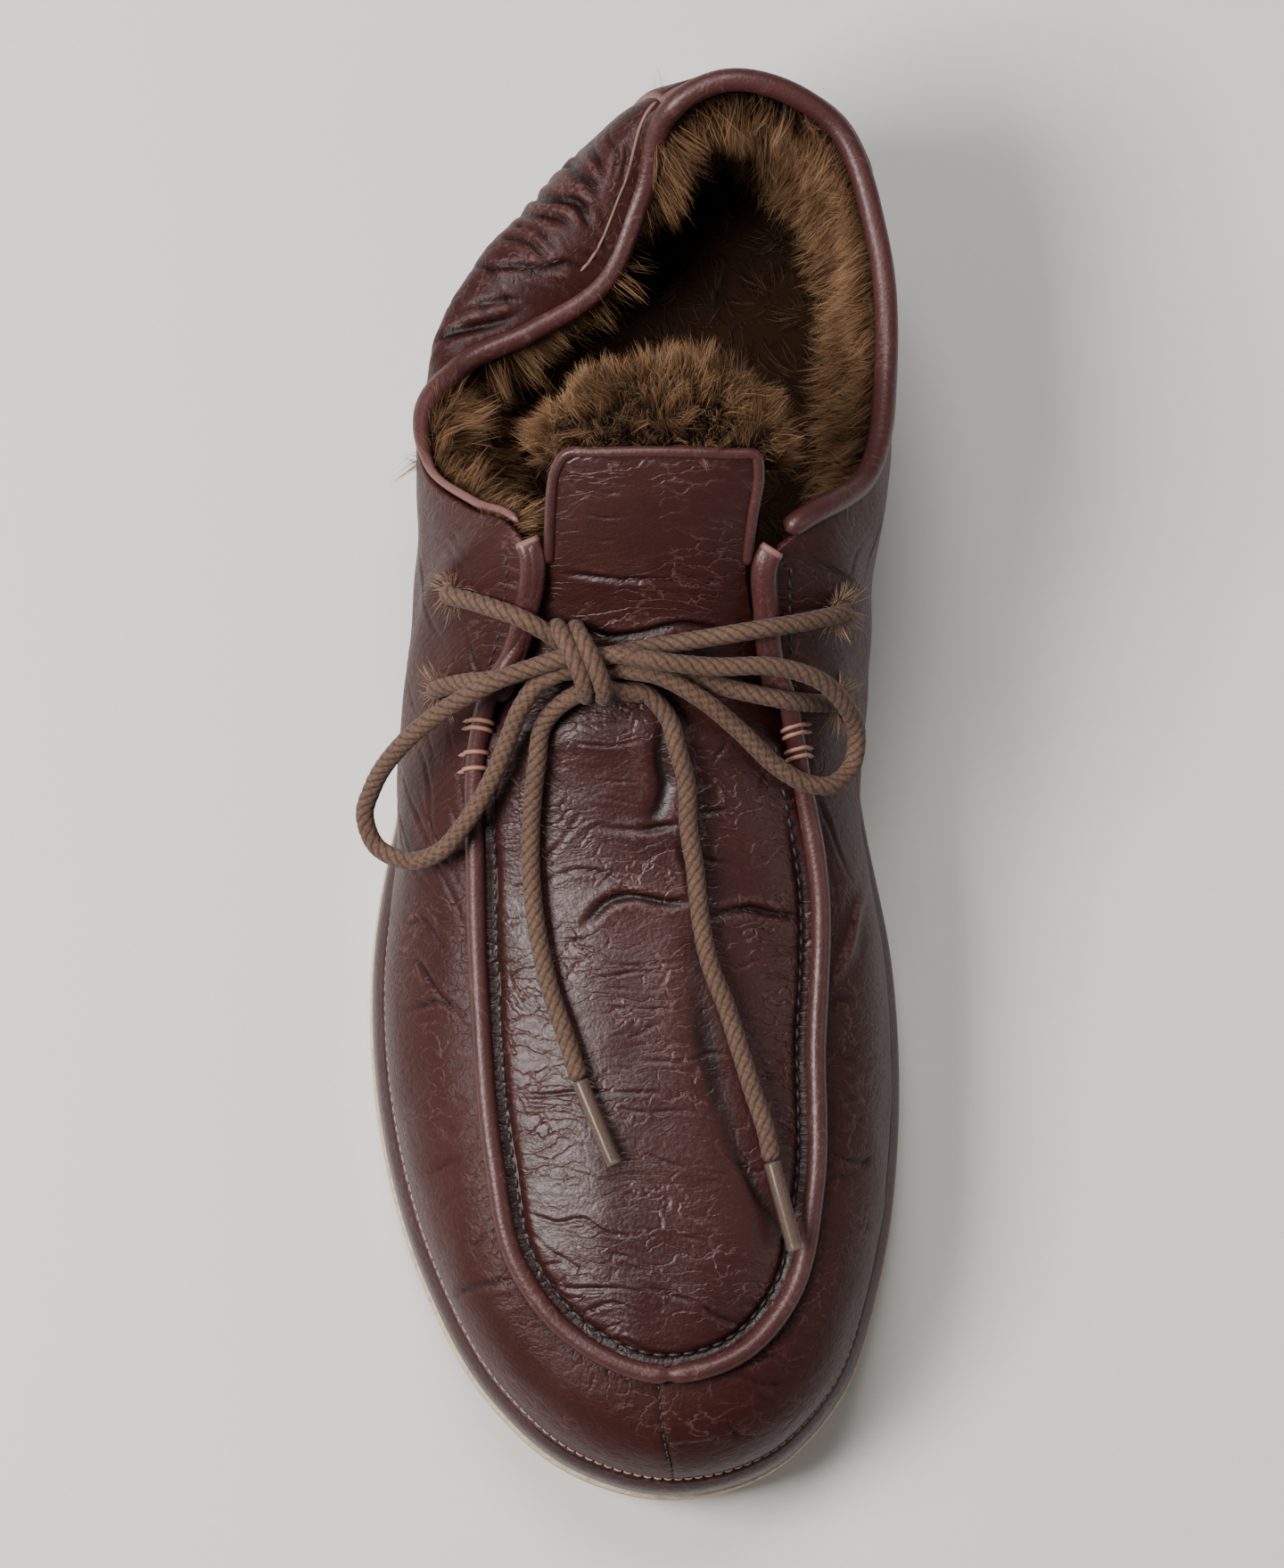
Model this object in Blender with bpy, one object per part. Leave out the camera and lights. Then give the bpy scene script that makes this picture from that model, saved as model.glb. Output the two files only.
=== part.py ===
"""A low, fur-lined moccasin shoe for the right foot, standing empty and laced with a bow.

The toe points along -Y and the big toe's side is +X. The origin is on the floor, under the middle of
the sole. The upper is a ring of ribs that stand on the sole's outline and end at the collar, at the
facings or at the apron's seam. A table holds one rib for each section of the shoe, as shares of the
named sizes. Lining, back strap and bindings come from the same ribs.
"""

import math

import bmesh
import bpy
import numpy as np

# Driving sizes, in metres
LENGTH = 0.290
BALL_WIDTH = 0.1115
INSTEP_HEIGHT = 0.074
OUTSOLE_THICKNESS = 0.006
PLATFORM_THICKNESS = 0.012
HEEL_LIFT = 0.004
TOE_SPRING = 0.009
ARCH_RISE = 0.0015
INSOLE_THICKNESS = 0.005
INSOLE_EASE = 0.0014
LEATHER = 0.002
STRAP_LEATHER = 0.0013
TONGUE_LEATHER = 0.003
LINING_EASE = 0.0008
PILE_DEPTH = 0.005
LOCK_LENGTH = 0.008
PIPING_RADIUS = 0.0020
COLLAR_BINDING_RADIUS = 0.0024
TONGUE_BINDING_RADIUS = 0.0015
BEAD_EASE = 0.0010
LACE_RADIUS = 0.0019
EYELET_RADIUS = 0.0023
FEATHER_INSET = 0.0035
CLEARANCE = 0.0003

# The sole's outline, heel to toe: place along LENGTH, then the outer and the inner edge across BALL_WIDTH
HEEL_POINT = (0.500, 0.115)
TOE_POINT = (-0.500, 0.071)
OUTLINE = (
    # along, outer edge, inner edge
    (0.479, -0.083, 0.290),
    (0.424, -0.208, 0.388),
    (0.345, -0.266, 0.424),
    (0.241, -0.298, 0.412),
    (0.121, -0.365, 0.394),
    (0.000, -0.450, 0.430),
    (-0.121, -0.499, 0.487),
    (-0.241, -0.477, 0.494),
    (-0.345, -0.399, 0.456),
    (-0.431, -0.275, 0.376),
    (-0.479, -0.136, 0.255),
)

# Where the toe starts to lift, and the waist that the arch spans, along LENGTH
SPRING_START = -0.19
SPRING_END = -0.50
ARCH_MIDDLE = 0.09
ARCH_HALF = 0.14
HEEL_LIFT_START = -0.07
HEEL_LIFT_END = 0.27

# One rib for each section, from the back of the heel round the outer side, the toe and the inner side.
# foot: share of the outline's length. across, along: its top, over BALL_WIDTH and LENGTH. rise: its
# top over the platform. The handles bend it: low_out and low_rise from its foot, high_out, high_along
# and high_rise from its top. Rises are shares of INSTEP_HEIGHT, and outs of BALL_WIDTH.
RIBS = (
    # foot, across, along, rise, low_out, low_rise, high_out, high_along, high_rise
    (0.000, 0.130, 0.484, 0.715, 0.018, 0.270, 0.027, 0.000, -0.240),
    (0.030, 0.022, 0.466, 0.680, 0.020, 0.400, 0.050, 0.000, -0.040),
    (0.052, -0.026, 0.408, 0.545, 0.054, 0.470, 0.110, 0.000, 0.110),
    (0.070, -0.088, 0.354, 0.475, 0.095, 0.480, 0.120, 0.010, 0.130),
    (0.090, -0.222, 0.321, 0.455, 0.150, 0.400, 0.090, 0.043, 0.080),
    (0.113, -0.350, 0.297, 0.450, 0.150, 0.320, 0.070, 0.018, -0.030),
    (0.140, -0.415, 0.255, 0.490, 0.125, 0.220, 0.010, -0.012, -0.180),
    (0.168, -0.408, 0.203, 0.605, 0.125, 0.240, 0.030, -0.028, -0.260),
    (0.196, -0.330, 0.167, 0.795, 0.155, 0.280, 0.100, -0.050, -0.210),
    (0.221, -0.255, 0.146, 0.945, 0.130, 0.300, 0.165, -0.035, -0.180),
    (0.227, -0.237, 0.136, 0.955, 0.125, 0.300, 0.175, -0.014, -0.165),
    (0.240, -0.240, 0.088, 0.836, 0.120, 0.270, 0.140, 0.000, -0.090),
    (0.254, -0.283, 0.042, 0.697, 0.090, 0.250, 0.105, 0.000, -0.055),
    (0.267, -0.300, 0.010, 0.615, 0.054, 0.240, 0.100, 0.000, -0.040),
    (0.288, -0.302, -0.069, 0.500, 0.027, 0.230, 0.095, 0.000, -0.030),
    (0.325, -0.291, -0.172, 0.432, 0.020, 0.240, 0.095, 0.000, -0.020),
    (0.367, -0.267, -0.270, 0.405, 0.015, 0.220, 0.095, 0.000, -0.015),
    (0.405, -0.223, -0.344, 0.350, 0.012, 0.190, 0.100, 0.000, -0.015),
    (0.451, -0.122, -0.393, 0.290, 0.012, 0.165, 0.105, 0.000, -0.015),
    (0.508, 0.028, -0.418, 0.262, 0.012, 0.155, 0.112, 0.000, -0.015),
    (0.556, 0.166, -0.405, 0.288, 0.012, 0.165, 0.105, 0.000, -0.015),
    (0.596, 0.258, -0.366, 0.345, 0.012, 0.190, 0.095, 0.000, -0.015),
    (0.636, 0.303, -0.292, 0.400, 0.015, 0.220, 0.085, 0.000, -0.015),
    (0.680, 0.306, -0.190, 0.432, 0.020, 0.240, 0.080, 0.000, -0.020),
    (0.724, 0.309, -0.086, 0.500, 0.018, 0.270, 0.075, 0.000, -0.040),
    (0.758, 0.264, 0.005, 0.615, 0.030, 0.290, 0.100, 0.000, -0.055),
    (0.773, 0.242, 0.043, 0.720, 0.070, 0.320, 0.125, 0.000, -0.080),
    (0.788, 0.219, 0.092, 0.840, 0.110, 0.340, 0.155, 0.000, -0.110),
    (0.804, 0.224, 0.131, 0.945, 0.120, 0.360, 0.180, -0.008, -0.170),
    (0.812, 0.250, 0.140, 0.940, 0.120, 0.360, 0.150, -0.027, -0.170),
    (0.842, 0.405, 0.193, 0.720, 0.080, 0.320, 0.045, -0.031, -0.230),
    (0.884, 0.447, 0.277, 0.590, 0.062, 0.240, 0.027, -0.007, -0.210),
    (0.921, 0.433, 0.376, 0.605, 0.054, 0.240, 0.036, 0.000, -0.210),
    (0.960, 0.345, 0.459, 0.660, 0.036, 0.240, 0.036, 0.000, -0.210),
)
OUTER_CORNER, OUTER_FACING_TOP, OUTER_THROAT = 9, 10, 13
TOE_RIB = 19
INNER_THROAT, INNER_FACING_TOP, INNER_CORNER = 25, 28, 29
STATIONS_PER_RIB = 2
RIB_LEVELS = 10

# The apron's crown over a straight line between its two seams, from the throat to the toe
APRON_CROWN = (
    # share of its length, share of INSTEP_HEIGHT
    (0.00, 0.125),
    (0.30, 0.120),
    (0.60, 0.100),
    (0.85, 0.060),
    (1.00, 0.000),
)
# How far the seam's bead leans away from the apron's rising side, as a slope
SEAM_LEAN = 0.48
APRON_COLUMNS = 8
APRON_FLATNESS = 2.6

# The tongue, from under the apron to its top edge: along LENGTH, its middle across BALL_WIDTH, rise
# of its middle and drop of its sides over INSTEP_HEIGHT, and its half width over BALL_WIDTH
TONGUE = (
    # along, across, rise, drop, half width
    (-0.030, -0.018, 0.635, 0.120, 0.235),
    (0.014, -0.018, 0.700, 0.125, 0.245),
    (0.048, -0.016, 0.765, 0.135, 0.245),
    (0.083, -0.013, 0.860, 0.110, 0.205),
    (0.117, -0.009, 0.990, 0.075, 0.176),
    (0.148, -0.006, 1.110, 0.055, 0.176),
    (0.172, 0.000, 1.195, 0.040, 0.178),
    (0.183, 0.006, 1.225, 0.030, 0.166),
)
TONGUE_COLUMNS = 10
TONGUE_ROW_STEPS = 2
TONGUE_BOUND_ROW = 10

# The pile behind the tongue, a roll seen from its side: along LENGTH and rise over INSTEP_HEIGHT
TONGUE_PILE = (
    (0.103, 0.823),
    (0.131, 0.935),
    (0.158, 1.040),
    (0.180, 1.115),
    (0.203, 1.170),
    (0.228, 1.160),
    (0.247, 1.095),
    (0.248, 0.980),
    (0.224, 0.885),
    (0.186, 0.823),
    (0.145, 0.782),
    (0.114, 0.769),
)
TONGUE_PILE_MIDDLE = 0.008
TONGUE_PILE_HALF = 0.185
TONGUE_PILE_COLUMNS = 9

# The half knot that joins the lace's bars: across BALL_WIDTH, along LENGTH and rise over INSTEP_HEIGHT,
# and its half sizes in metres. The bow's knot lies over it
HALF_KNOT = (-0.112, 0.062, 0.828)
HALF_KNOT_SIZE = (0.0040, 0.0030, 0.0022)
KNOT = (-0.0122, 0.0165, 0.0868)
KNOT_SIZE = (0.0046, 0.0060, 0.0036)

# Each bar of the lace: its eyelet, and the rib whose top it crosses
LACE_BARS = {
    "outer_upper": 11.05,
    "outer_lower": 11.85,
    "inner_upper": 26.80,
    "inner_lower": 25.85,
}

# The bow's routes, from the knot and in metres, over the shoe that they lie on
LOOP_OUTER = (
    (-0.0178, 0.0168, 0.0875),
    (-0.0235, 0.0153, 0.0860),
    (-0.0301, 0.0131, 0.0846),
    (-0.0403, 0.0084, 0.0788),
    (-0.0504, 0.0018, 0.0678),
    (-0.0553, -0.0043, 0.0585),
    (-0.0569, -0.0094, 0.0540),
    (-0.0547, -0.0150, 0.0515),
    (-0.0489, -0.0185, 0.0540),
    (-0.0419, -0.0179, 0.0602),
    (-0.0366, -0.0127, 0.0656),
    (-0.0319, -0.0054, 0.0700),
    (-0.0283, 0.0027, 0.0752),
    (-0.0259, 0.0083, 0.0797),
    (-0.0222, 0.0128, 0.0832),
    (-0.0178, 0.0146, 0.0846),
)
LOOP_INNER = (
    (-0.0066, 0.0175, 0.0883),
    (0.0006, 0.0164, 0.0882),
    (0.0122, 0.0156, 0.0865),
    (0.0248, 0.0160, 0.0848),
    (0.0341, 0.0141, 0.0800),
    (0.0390, 0.0109, 0.0740),
    (0.0422, 0.0058, 0.0665),
    (0.0415, 0.0000, 0.0645),
    (0.0369, -0.0047, 0.0668),
    (0.0312, -0.0045, 0.0692),
    (0.0255, -0.0017, 0.0722),
    (0.0180, 0.0044, 0.0770),
    (0.0088, 0.0106, 0.0826),
    (0.0007, 0.0142, 0.0848),
    (-0.0064, 0.0152, 0.0848),
)
END_OUTER = (
    (-0.0138, 0.0112, 0.0820),
    (-0.0176, 0.0094, 0.0790),
    (-0.0213, 0.0056, 0.0751),
    (-0.0225, -0.0019, 0.0721),
    (-0.0233, -0.0096, 0.0684),
    (-0.0235, -0.0193, 0.0646),
    (-0.0225, -0.0313, 0.0624),
    (-0.0208, -0.0402, 0.0611),
    (-0.0188, -0.0477, 0.0605),
    (-0.0163, -0.0550, 0.0603),
    (-0.0134, -0.0642, 0.0601),
)
END_INNER = (
    (-0.0078, 0.0115, 0.0828),
    (-0.0007, 0.0110, 0.0803),
    (0.0035, 0.0069, 0.0778),
    (0.0055, 0.0008, 0.0764),
    (0.0075, -0.0060, 0.0732),
    (0.0080, -0.0138, 0.0702),
    (0.0094, -0.0218, 0.0678),
    (0.0104, -0.0301, 0.0656),
    (0.0126, -0.0407, 0.0635),
    (0.0163, -0.0500, 0.0617),
    (0.0188, -0.0578, 0.0605),
    (0.0216, -0.0664, 0.0591),
    (0.0242, -0.0740, 0.0579),
    (0.0254, -0.0800, 0.0571),
)
AGLET_OUTER_TIP = (-0.0064, -0.0810, 0.0594)
AGLET_INNER_TIP = (0.0302, -0.0976, 0.0553)
AGLET_RADIUS = 0.00175
CORD_STEP = 0.0046
BAR_STEPS = 3


def smooth(knots, rows, at):
    """Values at the given knots of a smooth curve through the rows: a cubic between two rows, with the
    slope at a row of the parabola through it and its neighbours."""
    knots, rows = np.asarray(knots, float), np.asarray(rows, float)
    gaps = np.diff(knots)[:, None]
    slopes = np.diff(rows, axis=0) / gaps
    inner = (gaps[1:] * slopes[:-1] + gaps[:-1] * slopes[1:]) / (gaps[1:] + gaps[:-1])
    tangents = np.vstack([slopes[:1], inner, slopes[-1:]])
    at = np.asarray(at, float)
    i = np.clip(np.searchsorted(knots, at, side="right") - 1, 0, len(knots) - 2)
    gap = gaps[i, 0][..., None]
    t = (at - knots[i])[..., None] / gap
    return (
        (2 * t**3 - 3 * t**2 + 1) * rows[i]
        + (t**3 - 2 * t**2 + t) * gap * tangents[i]
        + (3 * t**2 - 2 * t**3) * rows[i + 1]
        + (t**3 - t**2) * gap * tangents[i + 1]
    )


def closed(rows, lengths, turn):
    """Knots and rows of a closed curve, with two rows repeated past each end. turn is what the rows
    gain in one round."""
    total = lengths.sum()
    starts = np.concatenate([[0], np.cumsum(lengths)])[:-1]
    knots = np.concatenate([starts[-2:] - total, starts, starts[:2] + total, [starts[2] + total]])
    return knots, np.vstack([rows[-2:] - turn, rows, rows[:3] + turn]), total


def sole_outline():
    """Points of the sole's outline, closed, from the heel round the outer side, centred on the origin."""
    outer = [(side, along) for along, side, _ in OUTLINE]
    inner = [(side, along) for along, _, side in reversed(OUTLINE)]
    rows = np.array([HEEL_POINT[::-1], *outer, TOE_POINT[::-1], *inner]) * (BALL_WIDTH, LENGTH)
    lengths = np.linalg.norm(np.roll(rows, -1, 0) - rows, axis=1)
    knots, rows, total = closed(rows, lengths, np.zeros(2))
    points = smooth(knots, rows, np.linspace(0, total, 721))
    return points - (points.min(0) + points.max(0)) / 2


EDGE = sole_outline()
EDGE_LENGTHS = np.concatenate([[0], np.cumsum(np.linalg.norm(np.diff(EDGE, axis=0), axis=1))])


def outline_at(share, inset=0.0):
    """Place on the outline at a share of its length, moved inwards by the inset, and the way outwards."""
    share = np.asarray(share, float)
    step = 0.004
    where = []
    for ahead in (0.0, -step, step):
        run = (share + ahead) % 1.0 * EDGE_LENGTHS[-1]
        where.append(np.stack([np.interp(run, EDGE_LENGTHS, EDGE[:, k]) for k in (0, 1)], -1))
    tangent = where[2] - where[1]
    out = np.stack([tangent[..., 1], -tangent[..., 0]], -1)
    out /= np.linalg.norm(out, axis=-1, keepdims=True)
    return where[0] - inset * out, out


def ease(low, high, value):
    """Nought below low, one above high, and smooth between them."""
    t = np.clip((value - low) / (high - low), 0, 1)
    return t * t * (3 - 2 * t)


def lift(y):
    """How far the toe spring raises everything at a place along the shoe."""
    return TOE_SPRING * np.clip((y / LENGTH - SPRING_START) / (SPRING_END - SPRING_START), 0, 1) ** 2


def arch(y):
    """The hollow under the waist."""
    away = np.clip(np.abs(y / LENGTH - ARCH_MIDDLE) / ARCH_HALF, 0, 1)
    return ARCH_RISE * (1 - away**2) ** 2


def platform_top(y):
    heel = HEEL_LIFT * ease(HEEL_LIFT_START, HEEL_LIFT_END, y / LENGTH)
    return OUTSOLE_THICKNESS + CLEARANCE + PLATFORM_THICKNESS + lift(y) + heel


def rib_knots():
    """Knots along the ring of rib tops, and the table's rows beside them."""
    rows = np.array(RIBS)
    tops = rows[:, 1:4] * (BALL_WIDTH, LENGTH, INSTEP_HEIGHT)
    lengths = np.linalg.norm(np.roll(tops, -1, 0) - tops, axis=1)
    turn = np.array([1.0] + [0.0] * 8)
    return closed(rows, lengths, turn)


KNOTS, KNOT_ROWS, RING = rib_knots()


def knot_of(rib):
    """The knot at a rib's number, or part of the way from one rib to the next."""
    return np.interp(rib, np.arange(-2, len(RIBS) + 3), KNOTS)


def rib(knot, share):
    """Points of the upper's outer face: a rib for each knot, at shares of the way up it."""
    row = smooth(KNOTS, KNOT_ROWS, np.mod(knot, RING))
    foot_xy, out = outline_at(row[..., 0], FEATHER_INSET)
    up = np.array([0.0, 0.0, 1.0])
    out = np.concatenate([out, np.zeros_like(out[..., :1])], -1)
    foot_z = platform_top(foot_xy[..., 1]) + CLEARANCE
    foot = np.concatenate([foot_xy, foot_z[..., None]], -1)
    top = np.stack(
        [row[..., 1] * BALL_WIDTH, row[..., 2] * LENGTH, foot_z + row[..., 3] * INSTEP_HEIGHT], -1
    )
    low = foot + out * row[..., 4:5] * BALL_WIDTH + up * row[..., 5:6] * INSTEP_HEIGHT
    high = top + out * row[..., 6:7] * BALL_WIDTH + up * row[..., 8:9] * INSTEP_HEIGHT
    high[..., 1] += row[..., 7] * LENGTH
    v = np.asarray(share, float)[..., None]
    return (
        (1 - v) ** 3 * foot + 3 * (1 - v) ** 2 * v * low + 3 * (1 - v) * v**2 * high + v**3 * top
    )


def wall(knot, share, depth=0.0):
    """Points at a depth under the upper's outer face, with the way outwards and the way up the rib."""
    knot, share = np.broadcast_arrays(np.asarray(knot, float), np.asarray(share, float))
    small, tiny = 0.002, 0.01
    around = rib(knot + small, share) - rib(knot - small, share)
    lower, upper = np.maximum(share - tiny, 0), np.minimum(share + tiny, 1)
    upwards = rib(knot, upper) - rib(knot, lower)
    out = np.cross(around, upwards)
    out /= np.linalg.norm(out, axis=-1, keepdims=True)
    upwards /= np.linalg.norm(upwards, axis=-1, keepdims=True)
    return rib(knot, share) - depth * out, out, upwards


def stations(first, last, steps=STATIONS_PER_RIB):
    """Knots from one rib to another, the long way round the heel if the second is lower."""
    if last < first:
        last += len(RIBS)
    numbers = np.linspace(first, last, int((last - first) * steps) + 1)
    return np.where(
        numbers > len(RIBS), knot_of(numbers - len(RIBS)) + RING, knot_of(np.minimum(numbers, len(RIBS)))
    )


def material(name, colour, roughness, metallic=0.0):
    made = bpy.data.materials.new(name)
    made.use_nodes = True
    shader = made.node_tree.nodes["Principled BSDF"]
    shader.inputs["Base Color"].default_value = (*colour, 1.0)
    shader.inputs["Roughness"].default_value = roughness
    shader.inputs["Metallic"].default_value = metallic
    made.diffuse_color = (*colour, 1.0)
    return made


def make_object(name, points, faces, finish, parent):
    """An object from points and faces. Points at one place become one, and faces that lose their area go."""
    mesh = bpy.data.meshes.new(name)
    mesh.from_pydata(np.asarray(points).reshape(-1, 3).tolist(), [], np.asarray(faces).tolist())
    work = bmesh.new()
    work.from_mesh(mesh)
    bmesh.ops.remove_doubles(work, verts=work.verts, dist=1e-6)
    work.to_mesh(mesh)
    work.free()
    mesh.shade_smooth()
    mesh.set_sharp_from_angle(angle=math.radians(50))
    mesh.materials.append(finish)
    made = bpy.data.objects.new(name, mesh)
    made.parent = parent
    bpy.context.scene.collection.objects.link(made)
    return made


def grid_faces(columns, rows, wrap=False, start=0):
    """Quads of a grid whose points run up each column in turn, facing out when the columns run
    anticlockwise and the rows run up."""
    i = np.arange(columns if wrap else columns - 1)
    j = np.arange(rows - 1)
    a, b = np.meshgrid(i, j, indexing="ij")
    c = (a + 1) % columns
    quads = [a * rows + b, c * rows + b, c * rows + b + 1, a * rows + b + 1]
    return start + np.stack([q.ravel() for q in quads], -1)


def solidify(made, thickness):
    """Gives a skin its thickness, inwards from its face."""
    modifier = made.modifiers.new("Thickness", "SOLIDIFY")
    modifier.thickness = thickness
    modifier.offset = -1.0


def shell(name, outer, inner, finish, parent, wrap=False):
    """One closed wall between two grids of the same size."""
    columns, rows = outer.shape[:2]
    count = columns * rows
    quads = [grid_faces(columns, rows, wrap), grid_faces(columns, rows, wrap, count)[:, ::-1]]
    run = np.arange(columns if wrap else columns - 1)
    after = (run + 1) % columns
    bottom, top = run * rows, run * rows + rows - 1
    next_bottom, next_top = after * rows, after * rows + rows - 1
    quads.append(np.stack([bottom, bottom + count, next_bottom + count, next_bottom], -1))
    quads.append(np.stack([top, next_top, next_top + count, top + count], -1))
    if not wrap:
        side = np.arange(rows - 1)
        end = (columns - 1) * rows + side
        quads.append(np.stack([side, side + 1, side + 1 + count, side + count], -1))
        quads.append(np.stack([end, end + count, end + 1 + count, end + 1], -1))
    points = np.concatenate([outer.reshape(-1, 3), inner.reshape(-1, 3)])
    return make_object(name, points, np.concatenate(quads), finish, parent)


def slab(name, levels, finish, parent, count=64):
    """A solid of the sole's outline. levels runs upwards, with an inset and a height function each, and
    the two end faces are strips from side to side."""
    share = np.arange(count) / count
    rings = []
    for inset, height in levels:
        xy, _ = outline_at(share, inset)
        rings.append(np.concatenate([xy, height(xy[:, 1])[:, None]], -1))
    points = np.stack(rings, 1)
    rows = len(levels)
    quads = [grid_faces(count, rows, wrap=True)]
    k = np.arange(count // 2)
    left, right = k * rows, (-k % count) * rows
    next_left, next_right = (k + 1) * rows, (-(k + 1) % count) * rows
    quads.append(np.stack([left, right, next_right, next_left], -1))
    quads.append(np.stack([left, next_left, next_right, right], -1) + rows - 1)
    return make_object(name, points, np.concatenate(quads), finish, parent)


def tube(name, points, radius, finish, parent, resolution=2):
    """A round bar through the points, with closed ends."""
    curve = bpy.data.curves.new(name, "CURVE")
    curve.dimensions = "3D"
    curve.bevel_depth = radius
    curve.bevel_resolution = resolution
    curve.use_fill_caps = True
    spline = curve.splines.new("POLY")
    spline.points.add(len(points) - 1)
    padded = np.concatenate([points, np.ones((len(points), 1))], -1)
    spline.points.foreach_set("co", padded.ravel())
    curve.materials.append(finish)
    made = bpy.data.objects.new(name, curve)
    made.parent = parent
    bpy.context.scene.collection.objects.link(made)
    return made


def outsole(finish, parent):
    edge_round, lip = 0.0015, 0.0006

    def at(height):
        return lambda y: arch(y) + lift(y) + height

    top = OUTSOLE_THICKNESS
    levels = (
        (edge_round, at(0.0)),
        (0.0, at(edge_round)),
        (0.0, lambda y: lift(y) + top - lip),
        (lip, lambda y: lift(y) + top),
    )
    return slab("outsole", levels, finish, parent)


def platform(finish, parent):
    """The wrapped midsole, whose side swells between the outsole and the upper's stitched edge."""

    def at(share):
        base = OUTSOLE_THICKNESS + CLEARANCE
        return lambda y: base + lift(y) + share * (platform_top(y) - base - lift(y))

    levels = (
        (0.0018, at(0.0)),
        (0.0007, at(0.2)),
        (0.0006, at(0.5)),
        (0.0014, at(0.8)),
        (0.0030, at(1.0)),
    )
    return slab("platform_wrap", levels, finish, parent)


def insole(finish, parent):
    inset = FEATHER_INSET + LEATHER + INSOLE_EASE
    rounding = 0.0012
    levels = (
        (inset, lambda y: platform_top(y) + CLEARANCE),
        (inset, lambda y: platform_top(y) + CLEARANCE + INSOLE_THICKNESS - rounding),
        (inset + rounding, lambda y: platform_top(y) + CLEARANCE + INSOLE_THICKNESS),
    )
    return slab("insole", levels, finish, parent, 56)


def apron_points():
    """Rows across the apron, from the throat to the toe. The ends of a row are points of the seam."""
    count = (TOE_RIB - OUTER_THROAT) * STATIONS_PER_RIB + 1
    outer = rib(stations(OUTER_THROAT, TOE_RIB), 1.0)
    inner = rib(stations(TOE_RIB, INNER_THROAT), 1.0)[::-1]
    crown = smooth(*zip(*[(at, [height]) for at, height in APRON_CROWN]), np.linspace(0, 1, count))
    across = np.linspace(0, 1, APRON_COLUMNS + 1)
    arc = 1 - np.abs(2 * across - 1) ** APRON_FLATNESS
    rows = outer[:, None] * (1 - across[None, :, None]) + inner[:, None] * across[None, :, None]
    rows[..., 2] += crown * INSTEP_HEIGHT * arc[None]
    return rows


def eyelet(rib_number, share):
    """An eyelet's place on the outer face, and the way outwards."""
    place, out, _ = wall(knot_of(rib_number), share)
    return place, out


EYELETS = {
    # name: rib number, share of the way up the rib
    "outer_upper": (10.35, 0.71),
    "outer_lower": (11.65, 0.68),
    "inner_upper": (27.35, 0.71),
    "inner_lower": (26.05, 0.68),
}


def upper(finish, parent):
    around = stations(0, len(RIBS))[:-1]
    share = np.linspace(0, 1, RIB_LEVELS)
    ring = rib(around[:, None], share[None])
    apron = apron_points()
    ring_quads = grid_faces(len(around), RIB_LEVELS, wrap=True)
    apron_quads = grid_faces(*apron.shape[:2], start=ring.shape[0] * ring.shape[1])
    points = np.concatenate([ring.reshape(-1, 3), apron.reshape(-1, 3)])
    made = make_object("upper", points, np.concatenate([ring_quads, apron_quads]), finish, parent)
    solidify(made, LEATHER)
    for name, (number, at) in EYELETS.items():
        place, out = eyelet(number, at)
        cutter = punch("punch_" + name, place, out, parent)
        cut = made.modifiers.new("Eyelet " + name, "BOOLEAN")
        cut.operation = "DIFFERENCE"
        cut.object = cutter
    return made


def punch(name, place, out, parent):
    """A cutter for one eyelet, as long as the leather is thick with room at both faces."""
    mesh = bpy.data.meshes.new(name)
    work = bmesh.new()
    bmesh.ops.create_cone(
        work,
        cap_ends=True,
        segments=10,
        radius1=EYELET_RADIUS,
        radius2=EYELET_RADIUS,
        depth=LEATHER * 6,
    )
    work.to_mesh(mesh)
    work.free()
    made = bpy.data.objects.new(name, mesh)
    made.location = place
    up = np.array([0.0, 0.0, 1.0])
    axis = np.cross(up, out)
    turn = math.acos(float(up @ out))
    made.rotation_mode = "AXIS_ANGLE"
    made.rotation_axis_angle = (turn, *(axis / np.linalg.norm(axis)))
    made.hide_render = True
    made.display_type = "WIRE"
    made.parent = parent
    bpy.context.scene.collection.objects.link(made)
    return made


def back_strap(finish, parent):
    """The strip over the back seam, raised from the upper's own face."""
    around = stations(32.5, 1.0)
    share = np.linspace(0.06, 0.97, 9)
    inner, out, _ = wall(around[:, None], share[None], -2 * CLEARANCE)
    return shell("back_strap", inner + out * STRAP_LEATHER, inner, finish, parent)


def fur_lining(finish, parent):
    """The pile inside the quarters, from one facing round the heel to the other, with locks on it."""
    around = stations(INNER_CORNER, OUTER_CORNER, 2)
    share = np.linspace(0.17, 0.93, 9)
    outer, out, _ = wall(around[:, None], share[None], LEATHER + LINING_EASE)
    swell = np.sin(np.pi * np.linspace(0.08, 0.92, len(share)))[None, :, None]
    inner = outer - out * PILE_DEPTH * (0.45 + 0.55 * swell)
    made = shell("fur_lining", outer, inner, finish, parent)
    raise_locks(made, len(around), len(share), -1)
    return made


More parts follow.
